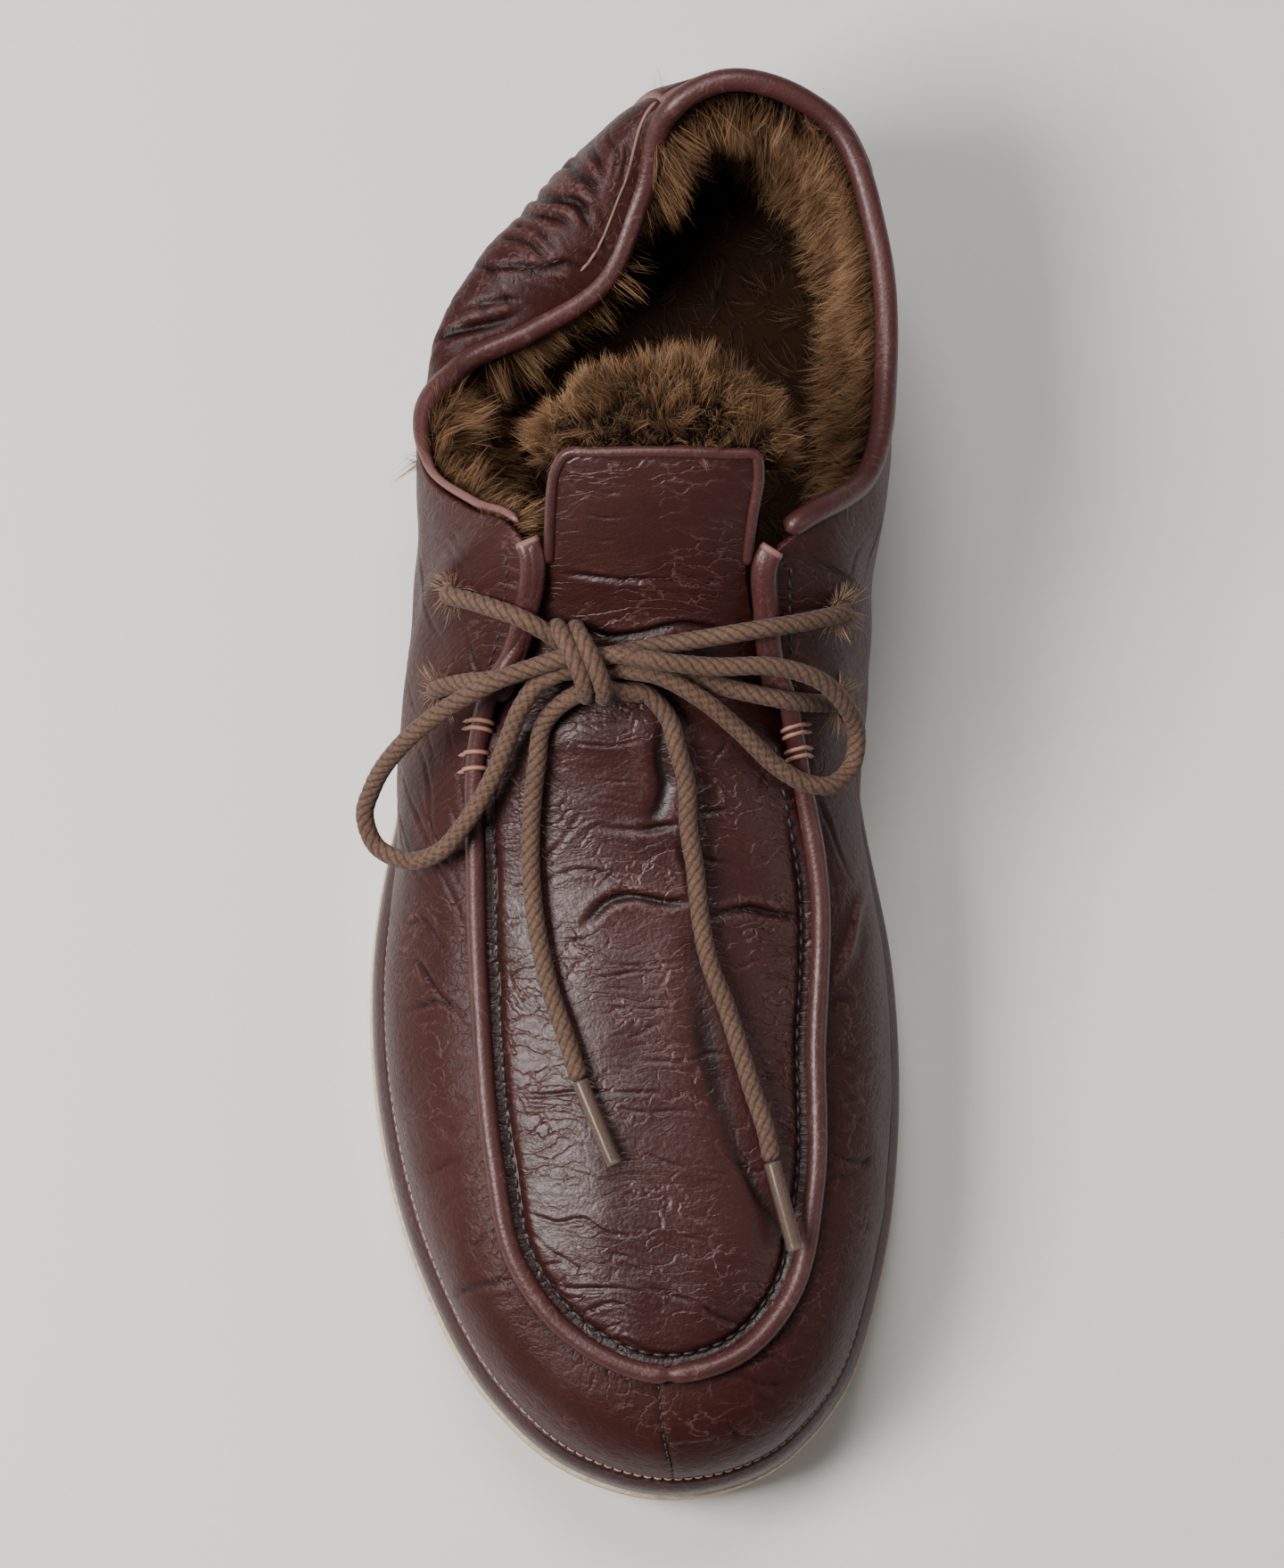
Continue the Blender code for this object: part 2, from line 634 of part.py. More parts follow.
def raise_locks(made, columns, rows, lean):
    """Draws every other face of a shell's inner side out into a lock that tapers and droops."""
    first = (columns - 1) * (rows - 1)
    work = bmesh.new()
    work.from_mesh(made.data)
    work.faces.ensure_lookup_table()
    chosen = [
        work.faces[first + c * (rows - 1) + r]
        for c in range(columns - 1)
        for r in range(rows - 1)
        if (c + r) % 2 == 0
    ]
    locks = bmesh.ops.extrude_discrete_faces(work, faces=chosen)["faces"]
    for number, lock in enumerate(locks):
        way = lock.normal.copy()
        middle = lock.calc_center_median()
        length = LOCK_LENGTH * (0.55 + 0.45 * math.sin(number * 2.4) ** 2)
        droop = 0.45 * math.sin(number * 1.7)
        for corner in lock.verts:
            corner.co = middle + (corner.co - middle) * 0.25 + way * length * 0.6
            corner.co.z += lean * length * 0.35
            corner.co.x += droop * length * 0.3
    work.to_mesh(made.data)
    work.free()


def tongue_points():
    """Rows across the tongue's face, from under the apron to its top edge."""
    table = np.array(TONGUE)
    knots = np.arange(len(table))
    rows = smooth(knots, table, np.linspace(0, len(table) - 1, (len(table) - 1) * TONGUE_ROW_STEPS + 1))
    along, across, rise, drop, half = (rows[:, k, None] for k in range(5))
    side = np.linspace(-1, 1, TONGUE_COLUMNS + 1)[None]
    y = along * LENGTH + 0 * side
    x = (across + half * side) * BALL_WIDTH
    base = platform_top(0.0) + CLEARANCE
    z = base + (rise - drop * side**2) * INSTEP_HEIGHT
    return np.stack([x, y, z], -1)


def tongue(finish, parent):
    points = tongue_points()
    quads = grid_faces(*points.shape[:2])[:, ::-1]
    made = make_object("tongue", points, quads, finish, parent)
    solidify(made, TONGUE_LEATHER)
    return made


def bound(first, last, radius, on_top, steps=2):
    """The middle of a bead along the rib tops. on_top is 0 where it caps the edge of the wall, and 1
    where it lies over the seam between the wall and the apron."""
    knots = stations(first, last, steps)
    top, out, _ = wall(knots, 1.0)
    small = 0.001
    beyond = np.cross(out, rib(knots + small, 1.0) - rib(knots - small, 1.0))
    beyond /= np.linalg.norm(beyond, axis=-1, keepdims=True)
    lean = out - SEAM_LEAN * beyond
    lean /= np.linalg.norm(lean, axis=-1, keepdims=True)
    turn = np.asarray(on_top(knots))[:, None]
    reach = radius + BEAD_EASE * (1 + np.sin(np.pi * turn))
    round_edge = np.cos(turn * math.pi / 2) * beyond + np.sin(turn * math.pi / 2) * lean
    return top + round_edge * reach - (1 - turn) * out * LEATHER / 2


def over_the_seam(knots):
    """Nought along the free edges of the facings and one along the apron's seam."""
    outer, inner = knot_of(OUTER_THROAT), knot_of(INNER_THROAT)
    turn = knot_of(OUTER_THROAT + 1) - outer
    rising = ease(outer - turn * 1.1, outer - turn * 0.4, knots)
    return rising * (1 - ease(inner + turn * 0.4, inner + turn * 1.1, knots))


def tongue_binding(finish, parent):
    """The rolled edge of the tongue, up one side, over the top and down the other."""
    grid = tongue_points()
    rows, columns = grid.shape[:2]
    left = grid[TONGUE_BOUND_ROW:, 0]
    right = grid[TONGUE_BOUND_ROW:, -1][::-1]
    path = np.concatenate([left[:-1], grid[-1], right[1:]])
    rise = grid[-1, columns // 2] - grid[-2, columns // 2]
    rise /= np.linalg.norm(rise)
    side = np.array([1.0, 0.0, 0.0])
    face = np.cross(side, rise)
    reach = TONGUE_BINDING_RADIUS + BEAD_EASE
    across = np.clip((path[:, 0] - path[:, 0].mean()) / (np.ptp(path[:, 0]) / 2), -1, 1)
    weight = np.abs(across) ** 12 * np.sign(across)
    on_top = np.zeros(len(path))
    on_top[len(left) - 1 : len(left) - 1 + columns] = 1.0
    away = weight[:, None] * side + on_top[:, None] * rise
    away /= np.linalg.norm(away, axis=1, keepdims=True)
    path = path + away * reach - face * TONGUE_LEATHER / 2
    return tube("tongue_binding", path, TONGUE_BINDING_RADIUS, finish, parent)


def tongue_fur(finish, parent):
    """The roll of pile behind the tongue and over its top, round ended, with locks on its open side."""
    profile = np.array(TONGUE_PILE) * (LENGTH, INSTEP_HEIGHT)
    profile[:, 1] += platform_top(0.0) + CLEARANCE
    middle = profile.mean(0)
    turn = np.linspace(0, np.pi, TONGUE_PILE_COLUMNS)
    x = (TONGUE_PILE_MIDDLE - TONGUE_PILE_HALF * np.cos(turn)) * BALL_WIDTH
    width = np.sin(turn) ** 0.5
    loop = middle + width[:, None, None] * (profile - middle)
    points = np.stack([np.broadcast_to(x[:, None], loop.shape[:2]), loop[..., 0], loop[..., 1]], -1)
    columns, rows = points.shape[:2]
    points = np.concatenate([points, points[:, :1]], 1)
    quads = grid_faces(columns, rows + 1)
    made = make_object("tongue_fur", points, quads, finish, parent)
    draw_out_locks(made, lambda face: face.normal.y + face.normal.z > 0.55 and face.normal.y > -0.1)
    return made


def draw_out_locks(made, chosen):
    """Draws every other chosen face out into a lock."""
    work = bmesh.new()
    work.from_mesh(made.data)
    faces = [face for number, face in enumerate(work.faces) if chosen(face) and number % 2 == 0]
    locks = bmesh.ops.extrude_discrete_faces(work, faces=faces)["faces"]
    for number, lock in enumerate(locks):
        way = lock.normal.copy()
        middle = lock.calc_center_median()
        length = LOCK_LENGTH * (0.45 + 0.45 * math.sin(number * 2.4) ** 2)
        for corner in lock.verts:
            corner.co = middle + (corner.co - middle) * 0.2 + way * length
            corner.co.x += math.sin(number * 1.7) * length * 0.3
            corner.co.z += length * 0.2
    work.to_mesh(made.data)
    work.free()


def rod(name, points, radius, finish, parent, sides=8):
    """A round bar as a mesh, for joining to others."""
    last = len(points) - 1
    points = smooth(np.arange(last + 1), points, np.linspace(0, last, BAR_STEPS * last + 1))
    along = np.gradient(points, axis=0)
    along /= np.linalg.norm(along, axis=1, keepdims=True)
    side = np.cross(along, [0.0, 0.0, 1.0])
    side /= np.linalg.norm(side, axis=1, keepdims=True)
    up = np.cross(side, along)
    turn = np.arange(sides) * 2 * np.pi / sides
    ring = side[:, None] * np.cos(turn)[None, :, None] + up[:, None] * np.sin(turn)[None, :, None]
    skin = points[:, None] + radius * ring
    skin = np.concatenate([points[:1, None] + 0 * ring[:1], skin, points[-1:, None] + 0 * ring[:1]])
    skin = np.concatenate([skin, skin[:, :1]], 1)
    quads = grid_faces(len(skin), sides + 1)
    return make_object(name, skin, quads[:, ::-1], finish, parent)


def ball(name, middle, half, finish, parent):
    """A rounded lump with the half sizes given."""
    mesh = bpy.data.meshes.new(name)
    work = bmesh.new()
    bmesh.ops.create_uvsphere(work, u_segments=12, v_segments=8, radius=1.0)
    bmesh.ops.scale(work, vec=half, verts=work.verts)
    work.to_mesh(mesh)
    work.free()
    mesh.shade_smooth()
    mesh.materials.append(finish)
    made = bpy.data.objects.new(name, mesh)
    made.location = middle
    made.parent = parent
    bpy.context.scene.collection.objects.link(made)
    return made


def lace_bars(piping, finish, parent):
    """The four bars from the eyelets over the piping to the half knot, joined in one solid."""
    across, along, rise = HALF_KNOT
    base = platform_top(0.0) + CLEARANCE
    knot = np.array([across * BALL_WIDTH, along * LENGTH, base + rise * INSTEP_HEIGHT])
    made = ball("lace_bars", knot, HALF_KNOT_SIZE, finish, parent)
    for name, crossing in LACE_BARS.items():
        number, share = EYELETS[name]
        hole, out, _ = wall(knot_of(number), share)
        edge = wall(knot_of(crossing), 1.0)[0]
        halfway, half_out, _ = wall(knot_of((number + crossing) / 2), (1 + share) / 2)
        nearest = piping[np.argmin(np.linalg.norm(piping - edge, axis=1))]
        over = nearest + np.array([0, 0, PIPING_RADIUS + LACE_RADIUS + 5 * CLEARANCE])
        route = np.array(
            [
                hole + out * (LACE_RADIUS + 2 * CLEARANCE),
                halfway + half_out * (LACE_RADIUS + 4 * CLEARANCE),
                over,
                over * 0.45 + knot * 0.55 + np.array([0, 0, LACE_RADIUS / 2]),
                knot,
            ]
        )
        bar = rod("bar_" + name, route, LACE_RADIUS, finish, parent)
        bar.hide_render = True
        bar.display_type = "WIRE"
        join = made.modifiers.new("Join " + name, "BOOLEAN")
        join.operation = "UNION"
        join.object = bar
    return made


def even_points(route, step):
    """Points about a step apart on a smooth curve through a route's points."""
    route = np.array(route)
    lengths = np.concatenate([[0], np.cumsum(np.linalg.norm(np.diff(route, axis=0), axis=1))])
    return smooth(lengths, route, np.linspace(0, lengths[-1], max(2, round(lengths[-1] / step) + 1)))


def bow(finish, clear, parent):
    ball("lace_knot", KNOT, KNOT_SIZE, finish, parent)
    tube("lace_loop_outer", even_points(LOOP_OUTER, CORD_STEP), LACE_RADIUS, finish, parent)
    tube("lace_loop_inner", even_points(LOOP_INNER, CORD_STEP), LACE_RADIUS, finish, parent)
    tube("lace_end_outer", even_points(END_OUTER, CORD_STEP), LACE_RADIUS, finish, parent)
    tube("lace_end_inner", even_points(END_INNER, CORD_STEP), LACE_RADIUS, finish, parent)
    aglet("aglet_outer", END_OUTER[-1], AGLET_OUTER_TIP, clear, parent)
    aglet("aglet_inner", END_INNER[-1], AGLET_INNER_TIP, clear, parent)


def aglet(name, end, tip, finish, parent):
    """The sleeve at a lace's end, which starts just past the cord's own end."""
    end, tip = np.array(end), np.array(tip)
    along = (tip - end) / np.linalg.norm(tip - end)
    return tube(name, np.array([end + along * CLEARANCE, tip]), AGLET_RADIUS, finish, parent)


def clear_scene():
    for old in list(bpy.data.objects):
        bpy.data.objects.remove(old, do_unlink=True)


def main():
    clear_scene()
    shoe = bpy.data.objects.new("shoe", None)
    bpy.context.scene.collection.objects.link(shoe)
    hide = material("oxblood_leather", (0.135, 0.038, 0.034), 0.33)
    trim = material("piping_leather", (0.20, 0.062, 0.055), 0.30)
    crepe = material("cream_crepe", (0.62, 0.52, 0.36), 0.75)
    fur = material("brown_fur", (0.26, 0.150, 0.072), 0.90)
    cord = material("brown_cord", (0.27, 0.175, 0.115), 0.80)
    clear = material("clear_plastic", (0.75, 0.70, 0.66), 0.15)
    outsole(crepe, shoe)
    platform(hide, shoe)
    insole(fur, shoe)
    upper(hide, shoe)
    back_strap(hide, shoe)
    tongue(hide, shoe)
    tongue_binding(trim, shoe)
    tongue_fur(fur, shoe)
    fur_lining(fur, shoe)
    collar = bound(INNER_CORNER, OUTER_CORNER, COLLAR_BINDING_RADIUS, lambda knots: 0 * knots)
    tube("collar_binding", collar, COLLAR_BINDING_RADIUS, trim, shoe)
    piping = bound(OUTER_FACING_TOP, INNER_FACING_TOP, PIPING_RADIUS, over_the_seam)
    tube("moc_piping", piping, PIPING_RADIUS, trim, shoe)
    lace_bars(piping, cord, shoe)
    bow(cord, clear, shoe)


main()
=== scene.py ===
# %% [markdown]
# # A fur-lined moccasin, laced with a bow
#
# The real shoe is one soft hide pulled over a last. A raised seam joins its top panel to its sides,
# deep pile lines it, and a round braided lace ties it. We dress the plain solids with fine surfaces.
# Each one is worked out with numpy from the same ribs that shaped the solids, so all of them meet.

import math

import bpy
import mathutils
import numpy as np
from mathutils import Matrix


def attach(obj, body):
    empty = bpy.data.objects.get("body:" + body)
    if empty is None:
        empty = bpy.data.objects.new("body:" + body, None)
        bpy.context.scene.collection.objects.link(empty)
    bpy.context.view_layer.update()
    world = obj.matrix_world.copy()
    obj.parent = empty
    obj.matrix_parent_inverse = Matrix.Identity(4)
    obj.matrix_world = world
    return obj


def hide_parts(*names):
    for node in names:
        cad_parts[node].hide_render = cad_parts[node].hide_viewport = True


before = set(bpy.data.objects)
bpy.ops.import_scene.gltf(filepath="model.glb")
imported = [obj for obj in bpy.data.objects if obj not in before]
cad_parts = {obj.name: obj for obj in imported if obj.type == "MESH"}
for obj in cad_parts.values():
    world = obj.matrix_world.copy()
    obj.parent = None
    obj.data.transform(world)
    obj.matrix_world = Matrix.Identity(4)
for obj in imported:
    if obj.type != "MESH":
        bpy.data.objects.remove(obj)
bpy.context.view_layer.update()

# %% [markdown]
# ## The camera
#
# The shoe is seen from above, from a little beyond its toe. A long lens far away keeps the toe and
# the heel in proportion. We build the camera's three axes ourselves, because a look-at helper would
# turn the picture round its own axis.

# %% Camera
TARGET = np.array([0.0, 0.0, 0.040])
CAMERA_DISTANCE = 1.250
TOWARDS_TOE = math.radians(10.0)
TOWARDS_OUTER_SIDE = math.radians(2.5)
PIXELS_PER_METRE = 5450
PHOTO_HEIGHT = 1759
SENSOR = 36.0

back = np.array([-math.tan(TOWARDS_OUTER_SIDE), -math.tan(TOWARDS_TOE), 1.0])
back /= np.linalg.norm(back)
up = np.array([0.0, 1.0, 0.0]) - back[1] * back
up /= np.linalg.norm(up)
right = np.cross(up, back)
place = TARGET + CAMERA_DISTANCE * back
camera = bpy.data.objects.new("camera", bpy.data.cameras.new("camera"))
camera.data.lens = PIXELS_PER_METRE * CAMERA_DISTANCE * SENSOR / PHOTO_HEIGHT
camera.data.sensor_width = SENSOR
axes = mathutils.Matrix(np.stack([right, up, back], 1).tolist()).to_4x4()
camera.matrix_world = mathutils.Matrix.Translation(place) @ axes
bpy.context.scene.collection.objects.link(camera)
bpy.context.scene.camera = camera
print("lens in mm:", round(camera.data.lens, 1))

# %% [markdown]
# ## Floor and light
#
# Glossy leather shows the shape of its lights, so we use a few large soft panels. The main one hangs
# over the outer side, where the leather of the real shoe is brightest.

# %% Floor and light
def soft_panel(name, position, aim, size, power, colour):
    """A square area light at a position that faces a point."""
    light = bpy.data.lights.new(name, "AREA")
    light.shape = "SQUARE"
    light.size = size
    light.energy = power
    light.color = colour
    made = bpy.data.objects.new(name, light)
    direction = mathutils.Vector(aim) - mathutils.Vector(position)
    made.rotation_mode = "QUATERNION"
    made.rotation_quaternion = direction.to_track_quat("-Z", "Y")
    made.location = position
    bpy.context.scene.collection.objects.link(made)
    return made


soft_panel("panel_outer", (-0.58, -0.10, 0.80), (0, 0, 0.03), 0.40, 15.0, (1.0, 0.97, 0.95))
soft_panel("panel_above", (-0.10, 0.55, 1.15), (0, 0, 0.03), 0.45, 9.0, (1.0, 0.98, 0.96))
soft_panel("panel_inner", (0.85, -0.25, 0.55), (0, 0, 0.03), 0.60, 1.6, (1.0, 0.97, 0.95))
world = bpy.data.worlds.new("studio")
world.use_nodes = True
world.node_tree.nodes["Background"].inputs["Color"].default_value = (0.80, 0.82, 0.85, 1)
world.node_tree.nodes["Background"].inputs["Strength"].default_value = 0.13
bpy.context.scene.world = world

# %% [markdown]
# ## Materials from nodes
#
# Every finish is a small net of nodes round one Principled shader. A helper adds a node and fills its
# sockets, and a plain value that is the same all over goes straight on to the shader.

# %% Node helpers
def fresh_material(name, colour, roughness, **sockets):
    """A Principled material, its node tree and its shader."""
    made = bpy.data.materials.new(name)
    made.use_nodes = True
    tree = made.node_tree
    shader = tree.nodes["Principled BSDF"]
    shader.inputs["Base Color"].default_value = (*colour, 1)
    shader.inputs["Roughness"].default_value = roughness
    for socket, value in sockets.items():
        shader.inputs[socket.replace("_", " ")].default_value = value
    made.diffuse_color = (*colour, 1)
    return made, tree, shader


def add(tree, kind, inputs=(), **settings):
    """A node of a kind, with settings on it. inputs pairs a socket with a value or another node's output."""
    node = tree.nodes.new(kind)
    for name, value in settings.items():
        setattr(node, name, value)
    for socket, value in dict(inputs).items():
        if isinstance(value, bpy.types.NodeSocket):
            tree.links.new(value, node.inputs[socket])
        else:
            node.inputs[socket].default_value = value
    return node


def ramp(tree, value, stops):
    """A colour for each value, from a list of positions and colours."""
    node = add(tree, "ShaderNodeValToRGB", {"Fac": value})
    node.color_ramp.elements[0].position = stops[0][0]
    node.color_ramp.elements[0].color = (*stops[0][1], 1)
    node.color_ramp.elements[1].position = stops[-1][0]
    node.color_ramp.elements[1].color = (*stops[-1][1], 1)
    for position, colour in stops[1:-1]:
        node.color_ramp.elements.new(position).color = (*colour, 1)
    return node.outputs["Color"]


def curve(tree, value, low, high, out_low=0.0, out_high=1.0):
    """A value carried from one range to another, held at its ends."""
    node = add(tree, "ShaderNodeMapRange", {0: value, 1: low, 2: high, 3: out_low, 4: out_high})
    return node.outputs[0]


def mixed(tree, share, first, second, way="MIX"):
    """Two colours mixed by a share."""
    node = add(tree, "ShaderNodeMix", data_type="RGBA", blend_type=way)
    for socket, value in ((0, share), (6, first), (7, second)):
        if isinstance(value, bpy.types.NodeSocket):
            tree.links.new(value, node.inputs[socket])
        else:
            node.inputs[socket].default_value = value if socket == 0 else (*value, 1)
    return node.outputs[2]


# %% [markdown]
# ## Surfaces from grids
#
# A surface here is a function of two parameters. We work it out on a whole grid at once and hand the
# arrays to Blender. The UV map keeps real lengths in metres, so a pattern has the same scale on every
# piece of leather.

# %% Grid helpers
def add_mesh(name, points, faces, uv=None, **values):
    """A mesh from points, faces of one size, UVs for each corner and one number for each point."""
    size = faces.shape[1]
    mesh = bpy.data.meshes.new(name)
    mesh.vertices.add(len(points))
    mesh.vertices.foreach_set("co", points.astype(np.float32).ravel())
    mesh.loops.add(faces.size)
    mesh.loops.foreach_set("vertex_index", faces.astype(np.int32).ravel())
    mesh.polygons.add(len(faces))
    mesh.polygons.foreach_set("loop_start", np.arange(0, faces.size, size, dtype=np.int32))
    mesh.update(calc_edges=True)
    if uv is not None:
        mesh.uv_layers.new(name="UVMap").data.foreach_set("uv", uv.astype(np.float32).ravel())
    for key, value in values.items():
        attribute = mesh.attributes.new(key, "FLOAT", "POINT")
        attribute.data.foreach_set("value", np.asarray(value, np.float32).ravel())
    mesh.shade_smooth()
    made = bpy.data.objects.new(name, mesh)
    bpy.context.scene.collection.objects.link(made)
    return made


def surface(name, points, wrap=False, flip=False, uv=None, **values):
    """A grid of points[i, j] as quads. wrap joins the last column to the first."""
    columns, rows = points.shape[:2]
    i = np.arange(columns if wrap else columns - 1)
    j = np.arange(rows - 1)
    a, b = np.meshgrid(i, j, indexing="ij")
    c = (a + 1) % columns
    corners = [a * rows + b, c * rows + b, c * rows + b + 1, a * rows + b + 1]
    faces = np.stack(corners, -1).reshape(-1, 4)
    corner_uv = None
    if uv is not None:
        flat = uv.reshape(-1, 2)
        unwrapped = [a * rows + b, (a + 1) * rows + b, (a + 1) * rows + b + 1, a * rows + b + 1]
        corner_uv = flat[np.stack(unwrapped, -1).reshape(-1, 4)]
    if flip:
        faces = faces[:, ::-1]
        corner_uv = corner_uv[:, ::-1] if corner_uv is not None else None
    return add_mesh(name, points.reshape(-1, 3), faces, corner_uv, **values)


def copies(name, shapes, faces, **values):
    """Many small shapes in one mesh: shapes[k] holds the points of the k-th, and all share their faces."""
    count, size = shapes.shape[:2]
    index = (np.arange(count) * size)[:, None, None] + faces[None]
    return add_mesh(name, shapes.reshape(-1, 3), index.reshape(-1, faces.shape[1]), **values)


def dress(piece, finish, slot, *nodes):
    """Gives a piece its material, hangs it from the root body and hides the solids that it stands for."""
    piece.data.materials.append(finish)
    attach(piece, "root")
    if nodes:
        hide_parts(*nodes)
    print(piece.name, "points:", len(piece.data.vertices))
    return piece


# %% [markdown]
# ## Smooth curves
#
# A route or a table of sections is a short list of rows. A cubic between each two rows, with the
# slope of the parabola through their neighbours, passes through all of them without a corner.

# %% Curves through rows
def smooth(knots, rows, at):
    """Values of a smooth curve through rows at their knots: cubic Hermite pieces with parabola slopes."""
    knots, rows = np.asarray(knots, float), np.asarray(rows, float)
    gaps = np.diff(knots)[:, None]
    slopes = np.diff(rows, axis=0) / gaps
    inner = (gaps[1:] * slopes[:-1] + gaps[:-1] * slopes[1:]) / (gaps[1:] + gaps[:-1])
    tangents = np.vstack([slopes[:1], inner, slopes[-1:]])
    at = np.asarray(at, float)
    i = np.clip(np.searchsorted(knots, at, side="right") - 1, 0, len(knots) - 2)
    gap = gaps[i, 0][..., None]
    t = (at - knots[i])[..., None] / gap
    first = (2 * t**3 - 3 * t**2 + 1) * rows[i] + (t**3 - 2 * t**2 + t) * gap * tangents[i]
    second = (3 * t**2 - 2 * t**3) * rows[i + 1] + (t**3 - t**2) * gap * tangents[i + 1]
    return first + second


def along_route(route, step):
    """Points a step apart on the smooth curve through a route."""
    route = np.array(route, float)
    lengths = np.concatenate([[0], np.cumsum(np.linalg.norm(np.diff(route, axis=0), axis=1))])
    fine = smooth(lengths, route, np.linspace(0, lengths[-1], 1200))
    run = np.concatenate([[0], np.cumsum(np.linalg.norm(np.diff(fine, axis=0), axis=1))])
    count = max(3, round(run[-1] / step) + 1)
    even = np.linspace(0, run[-1], count)
    return np.stack([np.interp(even, run, fine[:, k]) for k in range(3)], -1), even


def unit(vectors):
    """Vectors of length one."""
    return vectors / np.maximum(np.linalg.norm(vectors, axis=-1, keepdims=True), 1e-12)


def carried_frame(points, guide=(0.0, 0.0, 1.0)):
    """Side and up vectors along a path. Each up is the last one with its part along the path removed."""
    ahead = unit(np.gradient(points, axis=0))
    ups = np.empty_like(points)
    last = np.array(guide, float)
    for k, direction in enumerate(ahead):
        last = last - (last @ direction) * direction
        last = last / np.linalg.norm(last)
        ups[k] = last
    return np.cross(ahead, ups), ups


# %% [markdown]
# ## The braided lace
#
# A round lace is a tube of plaited yarns. Two families of diagonal lines cross on it, and where the
# cells of their chequer alternate, one yarn or the other lies on top. We raise the tube's radius by
# that pattern, so the braid has real relief.

# %% Lace helpers
LACE_RADIUS = 0.0019
PLAITS_ROUND = 5
PLAIT_LENGTH = 0.0024


def plait(round_share, run):
    """Height of the braid from 0 to 1. a and b count the two diagonals; a cell shows the bulge of one."""
    a = PLAITS_ROUND * round_share + run / PLAIT_LENGTH
    b = PLAITS_ROUND * round_share - run / PLAIT_LENGTH
    first = np.abs(np.sin(np.pi * a)) ** 0.6
    second = np.abs(np.sin(np.pi * b)) ** 0.6
    return np.where((np.floor(a) + np.floor(b)) % 2 == 0, first, second)


def lace(name, route, step=0.00040, sides=25, radius=LACE_RADIUS, ends=True):
    """A braided tube: circles of radius r(1 - 0.13 + 0.13 plait) carried along the route."""
    points, run = along_route(route, step)
    side, high = carried_frame(points)
    share = np.linspace(0, 1, sides + 1)
    height = plait(share[None], run[:, None])
    reach = radius * (0.87 + 0.13 * height)
    if ends:
        closing = np.minimum(run, run[-1] - run) / (0.8 * radius)
        reach = reach * np.sqrt(np.clip(1 - (1 - np.clip(closing, 0, 1)) ** 2, 0.0, 1))[:, None]
    turn = 2 * np.pi * share
    ring = side[:, None] * np.cos(turn)[None, :, None] + high[:, None] * np.sin(turn)[None, :, None]
    skin = points[:, None] + ring * reach[..., None]
    uv = np.stack(np.broadcast_arrays(share[None] * 2 * np.pi * radius, run[:, None]), -1)
    made = surface(name, skin.transpose(1, 0, 2)[:-1], wrap=True, flip=True,
                   uv=uv.transpose(1, 0, 2), braid=height.T[:-1])
    return made, points


def lace_material():
    """Brown yarn with painted shade: near black in the hollows between the plaits and its own brown on their
    tops, with a fuzz of fine fibres.
    """
    made, tree, shader = fresh_material("braided_lace", (0.12, 0.07, 0.045), 0.85, Sheen_Weight=0.06)
    uv = add(tree, "ShaderNodeUVMap", uv_map="UVMap").outputs["UV"]
    fibres = add(tree, "ShaderNodeTexNoise", {"Vector": uv, "Scale": 2600.0, "Detail": 3.0})
    blotch = add(tree, "ShaderNodeTexNoise", {"Vector": uv, "Scale": 160.0, "Detail": 2.0})
    height = add(tree, "ShaderNodeAttribute", attribute_name="braid").outputs["Fac"]
    # painted shade: the braid's height turns the yarn near black in the hollows between the plaits
    tone = ramp(tree, height, [(0.0, (0.012, 0.006, 0.004)), (0.50, (0.052, 0.026, 0.015)),
                               (1.0, (0.118, 0.061, 0.036))])
    speck = curve(tree, fibres.outputs["Fac"], 0.35, 0.70, 0.72, 1.18)
    patch = curve(tree, blotch.outputs["Fac"], 0.35, 0.65, 0.88, 1.10)
    speck = add(tree, "ShaderNodeCombineColor", {0: speck, 1: speck, 2: speck}).outputs[0]
    tone = mixed(tree, 1.0, tone, speck, "MULTIPLY")
    patch = add(tree, "ShaderNodeCombineColor", {0: patch, 1: patch, 2: patch}).outputs[0]
    tone = mixed(tree, 1.0, tone, patch, "MULTIPLY")
    tree.links.new(tone, shader.inputs["Base Color"])
    bump = add(tree, "ShaderNodeBump", {"Height": fibres.outputs["Fac"], "Strength": 0.5, "Distance": 0.0002})
    tree.links.new(bump.outputs["Normal"], shader.inputs["Normal"])
    return made


braided = lace_material()
